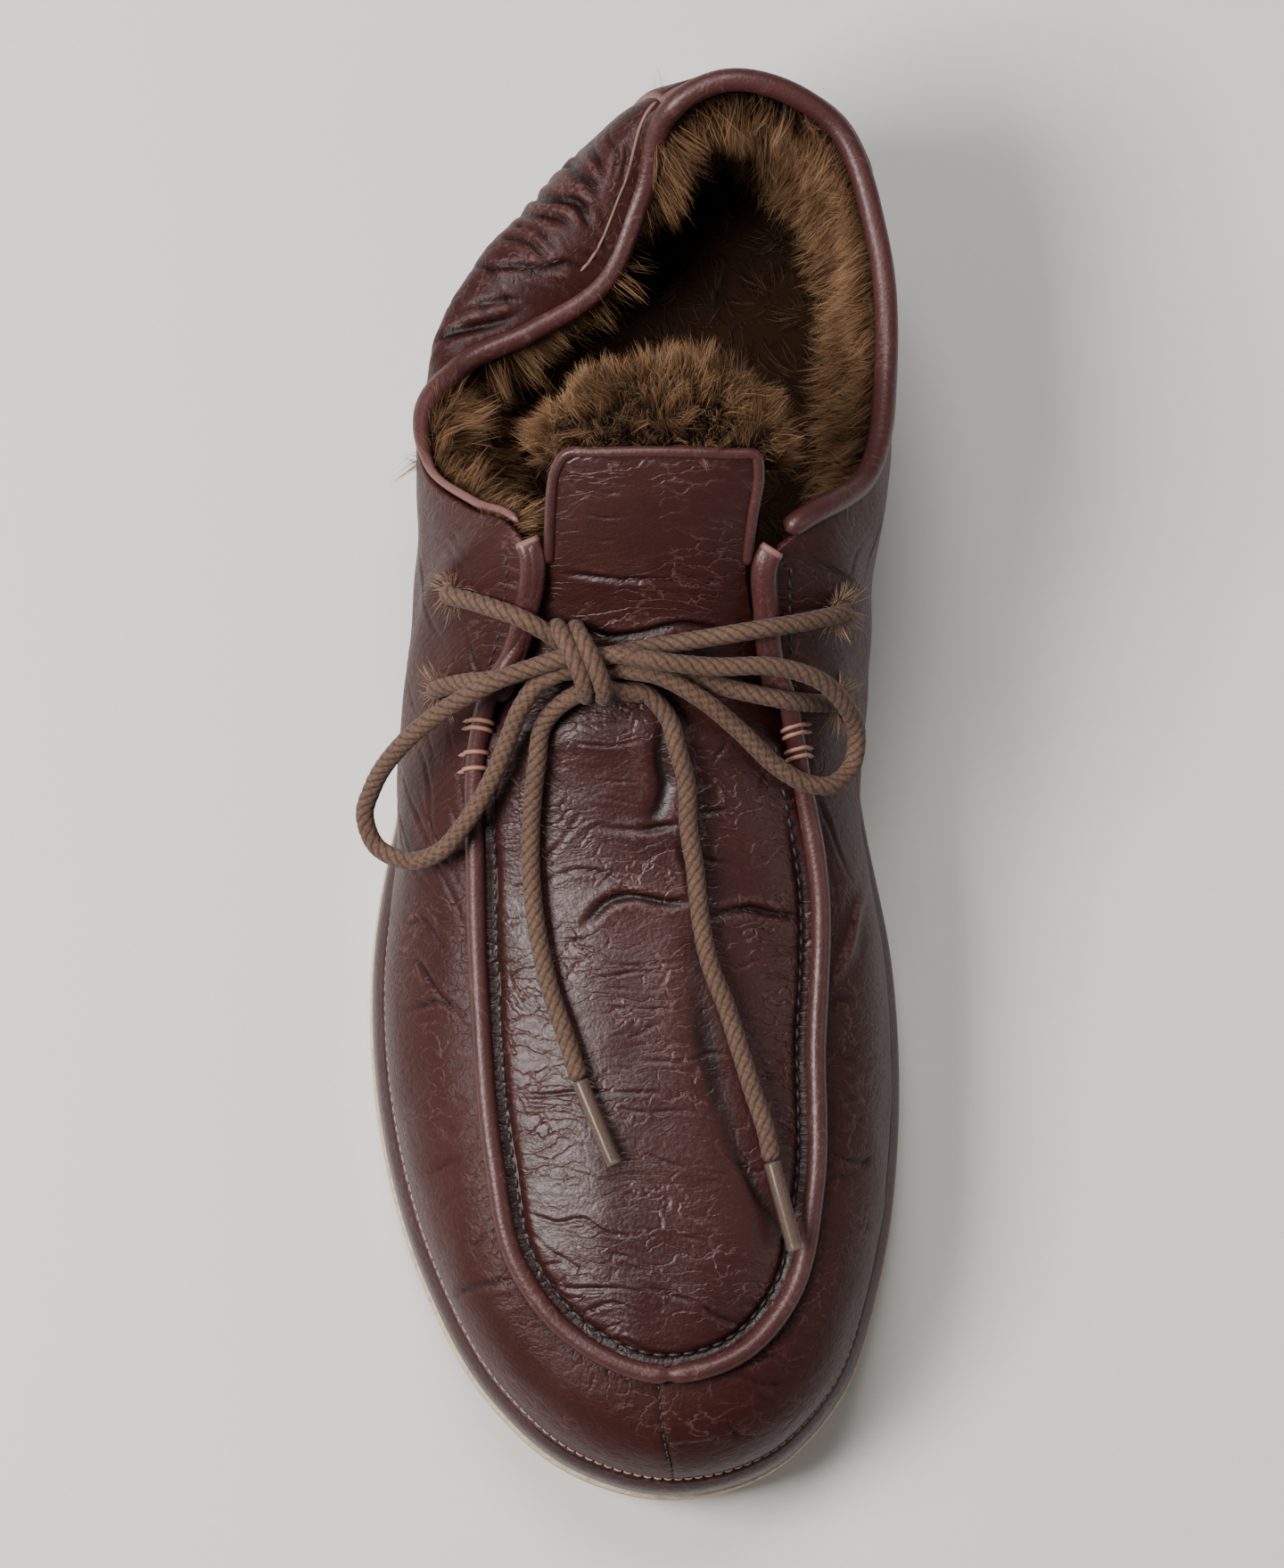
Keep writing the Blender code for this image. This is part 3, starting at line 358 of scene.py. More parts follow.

# %% [markdown]
# ## The bow
#
# The lace runs through four eyelets and meets in a knot over the tongue. Two loops and two ends
# leave the knot and lie on the leather. Their points were picked on the photograph and given
# heights, and a program turned both into places through the fitted camera. Most heights were changed
# afterwards. The routes are the same as the solids have.

# %% Routes of the bow
LOOP_OUTER = (
    (-0.0178, 0.0168, 0.0875),
    (-0.0235, 0.0153, 0.0860),
    (-0.0301, 0.0131, 0.0846),
    (-0.0403, 0.0084, 0.0788),
    (-0.0504, 0.0018, 0.0678),
    (-0.0553, -0.0043, 0.0585),
    (-0.0569, -0.0094, 0.0540),
    (-0.0547, -0.0150, 0.0515),
    (-0.0489, -0.0185, 0.0540),
    (-0.0419, -0.0179, 0.0602),
    (-0.0366, -0.0127, 0.0656),
    (-0.0319, -0.0054, 0.0700),
    (-0.0283, 0.0027, 0.0752),
    (-0.0259, 0.0083, 0.0797),
    (-0.0222, 0.0128, 0.0832),
    (-0.0178, 0.0146, 0.0846),
)
LOOP_INNER = (
    (-0.0066, 0.0175, 0.0883),
    (0.0006, 0.0164, 0.0882),
    (0.0122, 0.0156, 0.0865),
    (0.0248, 0.0160, 0.0848),
    (0.0341, 0.0141, 0.0800),
    (0.0390, 0.0109, 0.0740),
    (0.0422, 0.0058, 0.0665),
    (0.0415, 0.0000, 0.0645),
    (0.0369, -0.0047, 0.0668),
    (0.0312, -0.0045, 0.0692),
    (0.0255, -0.0017, 0.0722),
    (0.0180, 0.0044, 0.0770),
    (0.0088, 0.0106, 0.0826),
    (0.0007, 0.0142, 0.0848),
    (-0.0064, 0.0152, 0.0848),
)
END_OUTER = (
    (-0.0138, 0.0112, 0.0820),
    (-0.0176, 0.0094, 0.0790),
    (-0.0213, 0.0056, 0.0751),
    (-0.0225, -0.0019, 0.0721),
    (-0.0233, -0.0096, 0.0684),
    (-0.0235, -0.0193, 0.0646),
    (-0.0225, -0.0313, 0.0624),
    (-0.0208, -0.0402, 0.0611),
    (-0.0188, -0.0477, 0.0605),
    (-0.0163, -0.0550, 0.0603),
    (-0.0134, -0.0642, 0.0601),
)
END_INNER = (
    (-0.0078, 0.0115, 0.0828),
    (-0.0007, 0.0110, 0.0803),
    (0.0035, 0.0069, 0.0778),
    (0.0055, 0.0008, 0.0764),
    (0.0075, -0.0060, 0.0732),
    (0.0080, -0.0138, 0.0702),
    (0.0094, -0.0218, 0.0678),
    (0.0104, -0.0301, 0.0656),
    (0.0126, -0.0407, 0.0635),
    (0.0163, -0.0500, 0.0617),
    (0.0188, -0.0578, 0.0605),
    (0.0216, -0.0664, 0.0591),
    (0.0242, -0.0740, 0.0579),
    (0.0254, -0.0800, 0.0571),
)
AGLET_OUTER_TIP = (-0.0064, -0.0810, 0.0594)
AGLET_INNER_TIP = (0.0302, -0.0976, 0.0553)
AGLET_RADIUS = 0.00175
HALF_KNOT = np.array([-0.0125, 0.0180, 0.0803])
KNOT_WRAP = (
    (-0.0150, 0.0240, 0.0815),
    (-0.0152, 0.0232, 0.0852),
    (-0.0142, 0.0208, 0.0885),
    (-0.0122, 0.0165, 0.0900),
    (-0.0102, 0.0122, 0.0882),
    (-0.0094, 0.0101, 0.0852),
    (-0.0098, 0.0098, 0.0820),
)


# %% [markdown]
# The bow hangs from one knot, and each loop and end is its own length of lace.


wrap, _ = lace("knot_wrap", KNOT_WRAP)
dress(wrap, braided, "lace", "lace_knot")
loop_outer, path = lace("loop_outer", LOOP_OUTER)
dress(loop_outer, braided, "lace", "lace_loop_outer")
loop_inner, path = lace("loop_inner", LOOP_INNER)
dress(loop_inner, braided, "lace", "lace_loop_inner")

KNOT_STRANDS = (
    (LOOP_OUTER[1], LOOP_OUTER[0], (-0.0122, 0.0172, 0.0866), LOOP_INNER[0], LOOP_INNER[1]),
    (LOOP_OUTER[-2], LOOP_OUTER[-1], (-0.0122, 0.0150, 0.0836), LOOP_INNER[-1], LOOP_INNER[-2]),
    (END_OUTER[1], END_OUTER[0], (-0.0112, 0.0124, 0.0832), END_INNER[0], END_INNER[1]),
)
for count, route in enumerate(KNOT_STRANDS):
    dress(lace("knot_strand_%d" % count, route, radius=0.00187)[0], braided, "lace")
second_turn = np.array(KNOT_WRAP) + (-0.0036, 0.0004, -0.0008)
dress(lace("knot_second_turn", second_turn)[0], braided, "lace")


# %% [markdown]
# The lace's ends are held by clear plastic sleeves. The yarn shows through them, so we carry a thin
# core of lace into each sleeve and make the sleeve of clear plastic round it.

# %% Ends and aglets
def aglet(name, end, tip):
    """A sleeve with a wall: a circle's profile goes out along the core and comes back inside it."""
    end, tip = np.array(end), np.array(tip)
    ahead = unit(tip - end)
    far = np.linalg.norm(tip - end)
    side, high = carried_frame(np.stack([end, tip]))
    turn = np.linspace(0, 2 * np.pi, 25)[:-1]
    ring = side[0] * np.cos(turn)[:, None] + high[0] * np.sin(turn)[:, None]
    run = np.array([0.0003, 0.0003, 0.03, 0.5, 0.93, 0.985, 1.0, 0.985, 0.93, 0.5, 0.0003]) * far
    width = np.array([0.86, 1.0, 1.03, 1.0, 1.0, 0.99, 0.90, 0.80, 0.78, 0.80, 0.86]) * AGLET_RADIUS
    points = end + ahead * run[None, :, None] + ring[:, None] * width[None, :, None]
    return surface(name, points, wrap=True, flip=True)


def tail_route(route, tip):
    """The end's route carried on to just short of the sleeve's tip."""
    end, tip = np.array(route[-1]), np.array(tip)
    return [*route, tuple(end + (tip - end) * 0.5), tuple(end + (tip - end) * 0.93)]


plastic, _, _ = fresh_material("clear_sleeve", (0.16, 0.11, 0.085), 0.20, Alpha=0.30)
for side_name, route, tip in (("outer", END_OUTER, AGLET_OUTER_TIP), ("inner", END_INNER, AGLET_INNER_TIP)):
    sleeve = dress(aglet("sleeve_" + side_name, route[-1], tip), plastic, "aglet", "aglet_" + side_name)
    core, _ = lace("core_" + side_name, [route[-1], *tail_route(route, tip)[-2:]], radius=0.00138)
    dress(core, braided, "lace")
    piece, path = lace("end_" + side_name, route)
    dress(piece, braided, "lace", "lace_end_" + side_name)

# %% [markdown]
# ## The shoe's own shape
#
# These are the solids' sizes and tables again. A rib stands
# on the sole's outline at each section and bends up to the collar, the facing or the seam. A point of
# the upper is then a rib's number and a share of the way up it.

# %% Sizes and tables
LENGTH = 0.290
BALL_WIDTH = 0.1115
INSTEP_HEIGHT = 0.074
OUTSOLE_THICKNESS = 0.006
PLATFORM_THICKNESS = 0.012
HEEL_LIFT = 0.004
TOE_SPRING = 0.009
ARCH_RISE = 0.0015
LEATHER = 0.002
PIPING_RADIUS = 0.0020
COLLAR_BINDING_RADIUS = 0.0024
FEATHER_INSET = 0.0035
CLEARANCE = 0.0003
HEEL_POINT = (0.500, 0.115)
TOE_POINT = (-0.500, 0.071)
OUTLINE = (
    # along LENGTH, outer edge and inner edge across BALL_WIDTH
    (0.479, -0.083, 0.290),
    (0.424, -0.208, 0.388),
    (0.345, -0.266, 0.424),
    (0.241, -0.298, 0.412),
    (0.121, -0.365, 0.394),
    (0.000, -0.450, 0.430),
    (-0.121, -0.499, 0.487),
    (-0.241, -0.477, 0.494),
    (-0.345, -0.399, 0.456),
    (-0.431, -0.275, 0.376),
    (-0.479, -0.136, 0.255),
)
SPRING_START, SPRING_END = -0.19, -0.50
ARCH_MIDDLE, ARCH_HALF = 0.09, 0.14
HEEL_LIFT_START, HEEL_LIFT_END = -0.07, 0.27
RIBS = (
    # foot, across, along, rise, low_out, low_rise, high_out, high_along, high_rise
    (0.000, 0.130, 0.484, 0.715, 0.018, 0.270, 0.027, 0.000, -0.240),
    (0.030, 0.022, 0.466, 0.680, 0.020, 0.400, 0.050, 0.000, -0.040),
    (0.052, -0.026, 0.408, 0.545, 0.054, 0.470, 0.110, 0.000, 0.110),
    (0.070, -0.088, 0.354, 0.475, 0.095, 0.480, 0.120, 0.010, 0.130),
    (0.090, -0.222, 0.321, 0.455, 0.150, 0.400, 0.090, 0.043, 0.080),
    (0.113, -0.350, 0.297, 0.450, 0.150, 0.320, 0.070, 0.018, -0.030),
    (0.140, -0.415, 0.255, 0.490, 0.125, 0.220, 0.010, -0.012, -0.180),
    (0.168, -0.408, 0.203, 0.605, 0.125, 0.240, 0.030, -0.028, -0.260),
    (0.196, -0.330, 0.167, 0.795, 0.155, 0.280, 0.100, -0.050, -0.210),
    (0.221, -0.255, 0.146, 0.945, 0.130, 0.300, 0.165, -0.035, -0.180),
    (0.227, -0.237, 0.136, 0.955, 0.125, 0.300, 0.175, -0.014, -0.165),
    (0.240, -0.240, 0.088, 0.836, 0.120, 0.270, 0.140, 0.000, -0.090),
    (0.254, -0.283, 0.042, 0.697, 0.090, 0.250, 0.105, 0.000, -0.055),
    (0.267, -0.300, 0.010, 0.615, 0.054, 0.240, 0.100, 0.000, -0.040),
    (0.288, -0.302, -0.069, 0.500, 0.027, 0.230, 0.095, 0.000, -0.030),
    (0.325, -0.291, -0.172, 0.432, 0.020, 0.240, 0.095, 0.000, -0.020),
    (0.367, -0.267, -0.270, 0.405, 0.015, 0.220, 0.095, 0.000, -0.015),
    (0.405, -0.223, -0.344, 0.350, 0.012, 0.190, 0.100, 0.000, -0.015),
    (0.451, -0.122, -0.393, 0.290, 0.012, 0.165, 0.105, 0.000, -0.015),
    (0.508, 0.028, -0.418, 0.262, 0.012, 0.155, 0.112, 0.000, -0.015),
    (0.556, 0.166, -0.405, 0.288, 0.012, 0.165, 0.105, 0.000, -0.015),
    (0.596, 0.258, -0.366, 0.345, 0.012, 0.190, 0.095, 0.000, -0.015),
    (0.636, 0.303, -0.292, 0.400, 0.015, 0.220, 0.085, 0.000, -0.015),
    (0.680, 0.306, -0.190, 0.432, 0.020, 0.240, 0.080, 0.000, -0.020),
    (0.724, 0.309, -0.086, 0.500, 0.018, 0.270, 0.075, 0.000, -0.040),
    (0.758, 0.264, 0.005, 0.615, 0.030, 0.290, 0.100, 0.000, -0.055),
    (0.773, 0.242, 0.043, 0.720, 0.070, 0.320, 0.125, 0.000, -0.080),
    (0.788, 0.219, 0.092, 0.840, 0.110, 0.340, 0.155, 0.000, -0.110),
    (0.804, 0.224, 0.131, 0.945, 0.120, 0.360, 0.180, -0.008, -0.170),
    (0.812, 0.250, 0.140, 0.940, 0.120, 0.360, 0.150, -0.027, -0.170),
    (0.842, 0.405, 0.193, 0.720, 0.080, 0.320, 0.045, -0.031, -0.230),
    (0.884, 0.447, 0.277, 0.590, 0.062, 0.240, 0.027, -0.007, -0.210),
    (0.921, 0.433, 0.376, 0.605, 0.054, 0.240, 0.036, 0.000, -0.210),
    (0.960, 0.345, 0.459, 0.660, 0.036, 0.240, 0.036, 0.000, -0.210),
)
OUTER_CORNER, OUTER_FACING_TOP, OUTER_THROAT = 9, 10, 13
TOE_RIB = 19
INNER_THROAT, INNER_FACING_TOP, INNER_CORNER = 25, 28, 29
APRON_CROWN = ((0.00, 0.125), (0.30, 0.120), (0.60, 0.100), (0.85, 0.060), (1.00, 0.000))
SEAM_LEAN = 0.48
TONGUE = (
    # along, across, rise, drop, half width
    (-0.030, -0.018, 0.635, 0.120, 0.235),
    (0.014, -0.018, 0.700, 0.125, 0.245),
    (0.048, -0.016, 0.765, 0.135, 0.245),
    (0.083, -0.013, 0.860, 0.110, 0.205),
    (0.117, -0.009, 0.990, 0.075, 0.176),
    (0.148, -0.006, 1.110, 0.055, 0.176),
    (0.172, 0.000, 1.195, 0.040, 0.178),
    (0.183, 0.006, 1.225, 0.030, 0.166),
)
EYELETS = {
    # rib number, share of the way up the rib
    "outer_upper": (10.35, 0.71),
    "outer_lower": (11.65, 0.68),
    "inner_upper": (27.35, 0.71),
    "inner_lower": (26.05, 0.68),
}


# %% [markdown]
# A closed curve through the outline carries the ribs. Each rib is a smooth line up the wall.

# %% The outline and the ribs
def closed(rows, lengths, turn):
    """Knots and rows of a closed curve, a few rows repeated past its ends; turn is one round's gain."""
    total = lengths.sum()
    starts = np.concatenate([[0], np.cumsum(lengths)])[:-1]
    knots = np.concatenate([starts[-2:] - total, starts, starts[:2] + total, [starts[2] + total]])
    return knots, np.vstack([rows[-2:] - turn, rows, rows[:3] + turn]), total


def sole_outline():
    """Points of the sole's outline, from the heel round the outer side, centred on the origin."""
    outer = [(side, along) for along, side, _ in OUTLINE]
    inner = [(side, along) for along, _, side in reversed(OUTLINE)]
    rows = np.array([HEEL_POINT[::-1], *outer, TOE_POINT[::-1], *inner]) * (BALL_WIDTH, LENGTH)
    lengths = np.linalg.norm(np.roll(rows, -1, 0) - rows, axis=1)
    knots, rows, total = closed(rows, lengths, np.zeros(2))
    points = smooth(knots, rows, np.linspace(0, total, 721))
    return points - (points.min(0) + points.max(0)) / 2


EDGE = sole_outline()
EDGE_LENGTHS = np.concatenate([[0], np.cumsum(np.linalg.norm(np.diff(EDGE, axis=0), axis=1))])


def outline_at(share, inset=0.0):
    """Place on the outline at a share of its length, moved inwards, and the way outwards."""
    share = np.asarray(share, float)
    where = []
    for ahead in (0.0, -0.004, 0.004):
        run = (share + ahead) % 1.0 * EDGE_LENGTHS[-1]
        where.append(np.stack([np.interp(run, EDGE_LENGTHS, EDGE[:, k]) for k in (0, 1)], -1))
    along = where[2] - where[1]
    out = unit(np.stack([along[..., 1], -along[..., 0]], -1))
    return where[0] - np.asarray(inset)[..., None] * out, out


def ease(low, high, value):
    """Nought below low, one above high and 3t^2 - 2t^3 between them."""
    t = np.clip((value - low) / (high - low), 0, 1)
    return t * t * (3 - 2 * t)


def lift(y):
    """Toe spring: the square of the share of the way from its start to the toe."""
    return TOE_SPRING * np.clip((y / LENGTH - SPRING_START) / (SPRING_END - SPRING_START), 0, 1) ** 2


def arch(y):
    """The hollow under the waist: (1 - a^2)^2 of the share away from its middle."""
    away = np.clip(np.abs(y / LENGTH - ARCH_MIDDLE) / ARCH_HALF, 0, 1)
    return ARCH_RISE * (1 - away**2) ** 2


def platform_top(y):
    """Height of the platform's upper face."""
    heel = HEEL_LIFT * ease(HEEL_LIFT_START, HEEL_LIFT_END, y / LENGTH)
    return OUTSOLE_THICKNESS + CLEARANCE + PLATFORM_THICKNESS + lift(y) + heel


ROWS = np.array(RIBS)
TOPS = ROWS[:, 1:4] * (BALL_WIDTH, LENGTH, INSTEP_HEIGHT)
KNOTS, KNOT_ROWS, RING = closed(
    ROWS, np.linalg.norm(np.roll(TOPS, -1, 0) - TOPS, axis=1), np.array([1.0] + [0.0] * 8)
)


def knot_of(number):
    """The knot at a rib's number, or part of the way from one rib to the next."""
    return np.interp(number, np.arange(-2, len(RIBS) + 3), KNOTS)


def rib(knot, share):
    """The upper's outer face: a cubic Bezier rises from the sole's edge to the rim, at shares of its way."""
    row = smooth(KNOTS, KNOT_ROWS, np.mod(knot, RING))
    foot_xy, out = outline_at(row[..., 0], FEATHER_INSET)
    out = np.concatenate([out, np.zeros_like(out[..., :1])], -1)
    foot_z = platform_top(foot_xy[..., 1]) + CLEARANCE
    foot = np.concatenate([foot_xy, foot_z[..., None]], -1)
    rise = foot_z + row[..., 3] * INSTEP_HEIGHT
    top = np.stack([row[..., 1] * BALL_WIDTH, row[..., 2] * LENGTH, rise], -1)
    upwards = np.array([0.0, 0.0, INSTEP_HEIGHT])
    low = foot + out * row[..., 4:5] * BALL_WIDTH + upwards * row[..., 5:6]
    high = top + out * row[..., 6:7] * BALL_WIDTH + upwards * row[..., 8:9]
    high[..., 1] += row[..., 7] * LENGTH
    v = np.asarray(share, float)[..., None]
    return (1 - v) ** 3 * foot + 3 * (1 - v) ** 2 * v * low + 3 * (1 - v) * v**2 * high + v**3 * top


def wall(knot, share, depth=0.0):
    """Points at a depth under the outer face, the way outwards and the way up the rib."""
    knot, share = np.broadcast_arrays(np.asarray(knot, float), np.asarray(share, float))
    around = rib(knot + 0.002, share) - rib(knot - 0.002, share)
    upwards = rib(knot, np.minimum(share + 0.01, 1)) - rib(knot, np.maximum(share - 0.01, 0))
    out = unit(np.cross(around, upwards))
    return rib(knot, share) - np.asarray(depth)[..., None] * out, out, unit(upwards)


def stations(first, last, count):
    """Knots at even lengths from one rib to another, round the heel if the second is lower."""
    if last < first:
        last += len(RIBS)
    numbers = np.linspace(first, last, 400)
    beyond = knot_of(numbers - len(RIBS)) + RING
    knots = np.where(numbers > len(RIBS), beyond, knot_of(np.minimum(numbers, len(RIBS))))
    return np.interp(np.linspace(knots[0], knots[-1], count), knots, knots)


print("ring of ribs in mm:", round(RING * 1000), "outline in mm:", round(EDGE_LENGTHS[-1] * 1000))

# %% [markdown]
# ## Oxblood leather
#
# The hide is dark red-brown with a hard gloss. Its grain is a net of fine cells, and where the shoe
# bends it cracks into longer cells. On high folds a dull pink painted highlight is laid on, broken up
# by noise, and in the troughs the colour is darkened as painted shade. The fold attribute tells the
# shader how high or low each point lies, so the painted highlight and shade follow the creases.

# %% Leather material
def leather(name, base, crack_size, crack_stretch, crack_strength, gloss=0.34, bend=0.35, shine=0.40):
    """Glossy leather: fine cell grain, a warped crack net stretched across the piece, painted shade in
    troughs and a painted highlight on ridges.
    """
    made, tree, shader = fresh_material(name, base, gloss, Specular_IOR_Level=shine)
    uv = add(tree, "ShaderNodeUVMap", uv_map="UVMap").outputs["UV"]
    fold = add(tree, "ShaderNodeAttribute", attribute_name="fold").outputs["Fac"]
    warp = add(tree, "ShaderNodeTexNoise", {"Vector": uv, "Scale": 70.0, "Detail": 4.0})
    shift = add(tree, "ShaderNodeVectorMath", {0: warp.outputs["Color"], 1: (0.5, 0.5, 0.5)},
                operation="SUBTRACT")
    shift = add(tree, "ShaderNodeVectorMath", {0: shift.outputs[0], "Scale": crack_size * 4.5},
                operation="SCALE")
    moved = add(tree, "ShaderNodeVectorMath", {0: uv, 1: shift.outputs[0]}, operation="ADD").outputs[0]
    stretch = {"Vector": moved, "Scale": (1 / crack_stretch, 1.0, 1.0)}
    long_cells = add(tree, "ShaderNodeMapping", stretch).outputs[0]
    cracks = add(tree, "ShaderNodeTexVoronoi", {"Vector": long_cells, "Scale": 1 / crack_size},
                 feature="DISTANCE_TO_EDGE")
    fine = add(tree, "ShaderNodeTexVoronoi", {"Vector": uv, "Scale": 1350.0})
    cloud = add(tree, "ShaderNodeTexNoise", {"Vector": uv, "Scale": 20.0, "Detail": 5.0, "Roughness": 0.55})
    where = add(tree, "ShaderNodeTexNoise", {"Vector": uv, "Scale": 48.0, "Detail": 4.0})
    dust = add(tree, "ShaderNodeTexNoise", {"Vector": uv, "Scale": 900.0, "Detail": 2.0})
    groove = curve(tree, cracks.outputs["Distance"], 0.0, 0.07)
    bends = curve(tree, where.outputs["Fac"], 0.42, 0.60)
    low, high = tuple(c * 0.70 for c in base), tuple(c * 1.30 for c in base)
    tone = ramp(tree, cloud.outputs["Fac"], [(0.30, low), (0.72, high)])
    pores = curve(tree, dust.outputs["Fac"], 0.42, 0.70, 0.0, 0.40)
    tone = mixed(tree, pores, tone, tuple(c * 0.45 for c in base))
    lines = add(tree, "ShaderNodeMath", {0: 1.0, 1: groove}, operation="SUBTRACT").outputs[0]
    lines = add(tree, "ShaderNodeMath", {0: lines, 1: bends}, operation="MULTIPLY").outputs[0]
    chalk = curve(tree, dust.outputs["Fac"], 0.42, 0.56, 0.0, 0.24)
    worn = add(tree, "ShaderNodeMath", {0: lines, 1: chalk}, operation="MULTIPLY").outputs[0]
    tone = mixed(tree, worn, tone, (0.26, 0.14, 0.13))
    # painted shade: where the fold is low, in the troughs of the creases, the colour darkens towards a sixth
    # of the base
    tone = mixed(tree, curve(tree, fold, -0.15, -0.90, 0.0, 0.85), tone, tuple(c * 0.16 for c in base))
    # painted highlight: high ridges of the folds turn a dull pink, broken up by noise
    ridge = curve(tree, fold, 0.16, 0.55, 0.0, 0.18)
    ridge_highlight = curve(tree, dust.outputs["Fac"], 0.40, 0.60)
    ridge_highlight = add(tree, "ShaderNodeMath", {0: ridge, 1: ridge_highlight}, operation="MULTIPLY").outputs[0]
    tone = mixed(tree, ridge_highlight, tone, (0.27, 0.15, 0.14))
    raw = add(tree, "ShaderNodeAttribute", attribute_name="raw").outputs["Fac"]
    tone = mixed(tree, curve(tree, raw, 0.25, 0.85), tone, (0.215, 0.100, 0.090))
    tree.links.new(tone, shader.inputs["Base Color"])
    rough = curve(tree, cloud.outputs["Fac"], 0.3, 0.7, gloss - 0.04, gloss + 0.08)
    dull = curve(tree, dust.outputs["Fac"], 0.35, 0.70, 0.0, 0.10)
    rough = add(tree, "ShaderNodeMath", {0: rough, 1: dull}, operation="ADD")
    tree.links.new(rough.outputs[0], shader.inputs["Roughness"])
    soft = add(tree, "ShaderNodeTexNoise", {"Vector": long_cells, "Scale": 230.0, "Detail": 5.0,
                                            "Roughness": 0.62})
    first = add(tree, "ShaderNodeBump", {"Height": soft.outputs["Fac"], "Strength": bend, "Distance": 0.0010})
    level = mixed(tree, bends, (1.0, 1.0, 1.0), groove)
    second = add(tree, "ShaderNodeBump", {"Height": level, "Strength": crack_strength, "Distance": 0.0005,
                                          "Normal": first.outputs[0]})
    grain = add(tree, "ShaderNodeBump", {"Height": fine.outputs["Distance"], "Strength": 0.20,
                                         "Distance": 0.00025, "Normal": second.outputs[0]}, invert=True)
    tree.links.new(grain.outputs[0], shader.inputs["Normal"])
    return made


OXBLOOD = (0.0350, 0.0085, 0.0070)
vamp_leather = leather("vamp_leather", OXBLOOD, 0.0029, 4.2, 0.42, 0.36, 0.50)
quarter_leather = leather("quarter_leather", OXBLOOD, 0.0032, 2.8, 0.36, 0.41, 0.50, 0.20)
smooth_leather = leather("smooth_leather", (0.0310, 0.0072, 0.0060), 0.0070, 1.3, 0.10, 0.36, 0.12)
trim_leather = leather("trim_leather", (0.0600, 0.0190, 0.0175), 0.0060, 1.2, 0.06, 0.36, 0.08)


# %% [markdown]
# ## The sole
#
# A thin crepe sole lies under a platform that is wrapped in leather. Both are the same outline,
# carried up through a profile of insets and heights, and closed by strips from side to side.

# %% Sole pieces
def slab(name, profile, count=420):
    """Rings of the sole's outline at insets and heights, closed by strips between its two sides."""
    share = np.arange(count) / count
    rings = []
    for inset, height in profile:
        xy, _ = outline_at(share, inset)
        rings.append(np.concatenate([xy, height(xy[:, 1])[:, None]], -1))
    points = np.stack(rings, 1)
    rows = len(profile)
    i, j = np.meshgrid(np.arange(count), np.arange(rows - 1), indexing="ij")
    after = (i + 1) % count
    corners = [i * rows + j, after * rows + j, after * rows + j + 1, i * rows + j + 1]
    side = np.stack(corners, -1).reshape(-1, 4)
    k = np.arange(count // 2)
    left, across = k * rows, (-k % count) * rows
    next_left, next_across = (k + 1) * rows, (-(k + 1) % count) * rows
    under = np.stack([left, across, next_across, next_left], -1)[1:-1]
    over = np.stack([left, next_left, next_across, across], -1)[1:-1] + rows - 1
    faces = np.concatenate([side, under, over])
    run = np.broadcast_to((share * EDGE_LENGTHS[-1])[:, None], (count, rows))
    climb = np.concatenate([[0], np.cumsum(np.linalg.norm(np.diff(points, axis=1), axis=-1).mean(0))])
    flat = np.stack([run, np.broadcast_to(climb, run.shape)], -1).reshape(-1, 2)
    return add_mesh(name, points.reshape(-1, 3), faces, flat[faces], fold=np.zeros(len(points) * rows))


def crepe_material():
    """Cream crepe rubber: matt, a little crumbly, with darker pits."""
    made, tree, shader = fresh_material("cream_crepe", (0.56, 0.47, 0.33), 0.85, Specular_IOR_Level=0.25)
    place = add(tree, "ShaderNodeTexCoord").outputs["Object"]
    crumb = add(tree, "ShaderNodeTexNoise", {"Vector": place, "Scale": 700.0, "Detail": 5.0,
                                             "Roughness": 0.65})
    stain = add(tree, "ShaderNodeTexNoise", {"Vector": place, "Scale": 45.0, "Detail": 3.0})
    tone = ramp(tree, crumb.outputs["Fac"], [(0.30, (0.34, 0.265, 0.17)), (0.50, (0.56, 0.47, 0.33)),
                                             (0.75, (0.68, 0.60, 0.45))])
    tone = mixed(tree, curve(tree, stain.outputs["Fac"], 0.45, 0.75, 0.0, 0.5), tone, (0.40, 0.31, 0.20))
    tree.links.new(tone, shader.inputs["Base Color"])
    bump = add(tree, "ShaderNodeBump", {"Height": crumb.outputs["Fac"], "Strength": 0.7, "Distance": 0.0006})
    tree.links.new(bump.outputs[0], shader.inputs["Normal"])
    return made


def outsole_profile():
    """From the flat underside round a small edge, up the side and over the lip."""
    turn = np.linspace(0, np.pi / 2, 6)
    edge = 0.0015
    low = [(edge * (1 - np.sin(a)), edge * (1 - np.cos(a))) for a in turn]
    profile = [(inset, lambda y, h=h: h + arch(y) * (1 - h / edge) + lift(y)) for inset, h in low]
    for h in (0.0030, 0.0045, 0.0054):
        profile.append((0.0, lambda y, h=h: h + lift(y)))
    profile.append((0.0003, lambda y: OUTSOLE_THICKNESS - 0.0002 + lift(y)))
    profile.append((0.0008, lambda y: OUTSOLE_THICKNESS + lift(y)))
    return profile


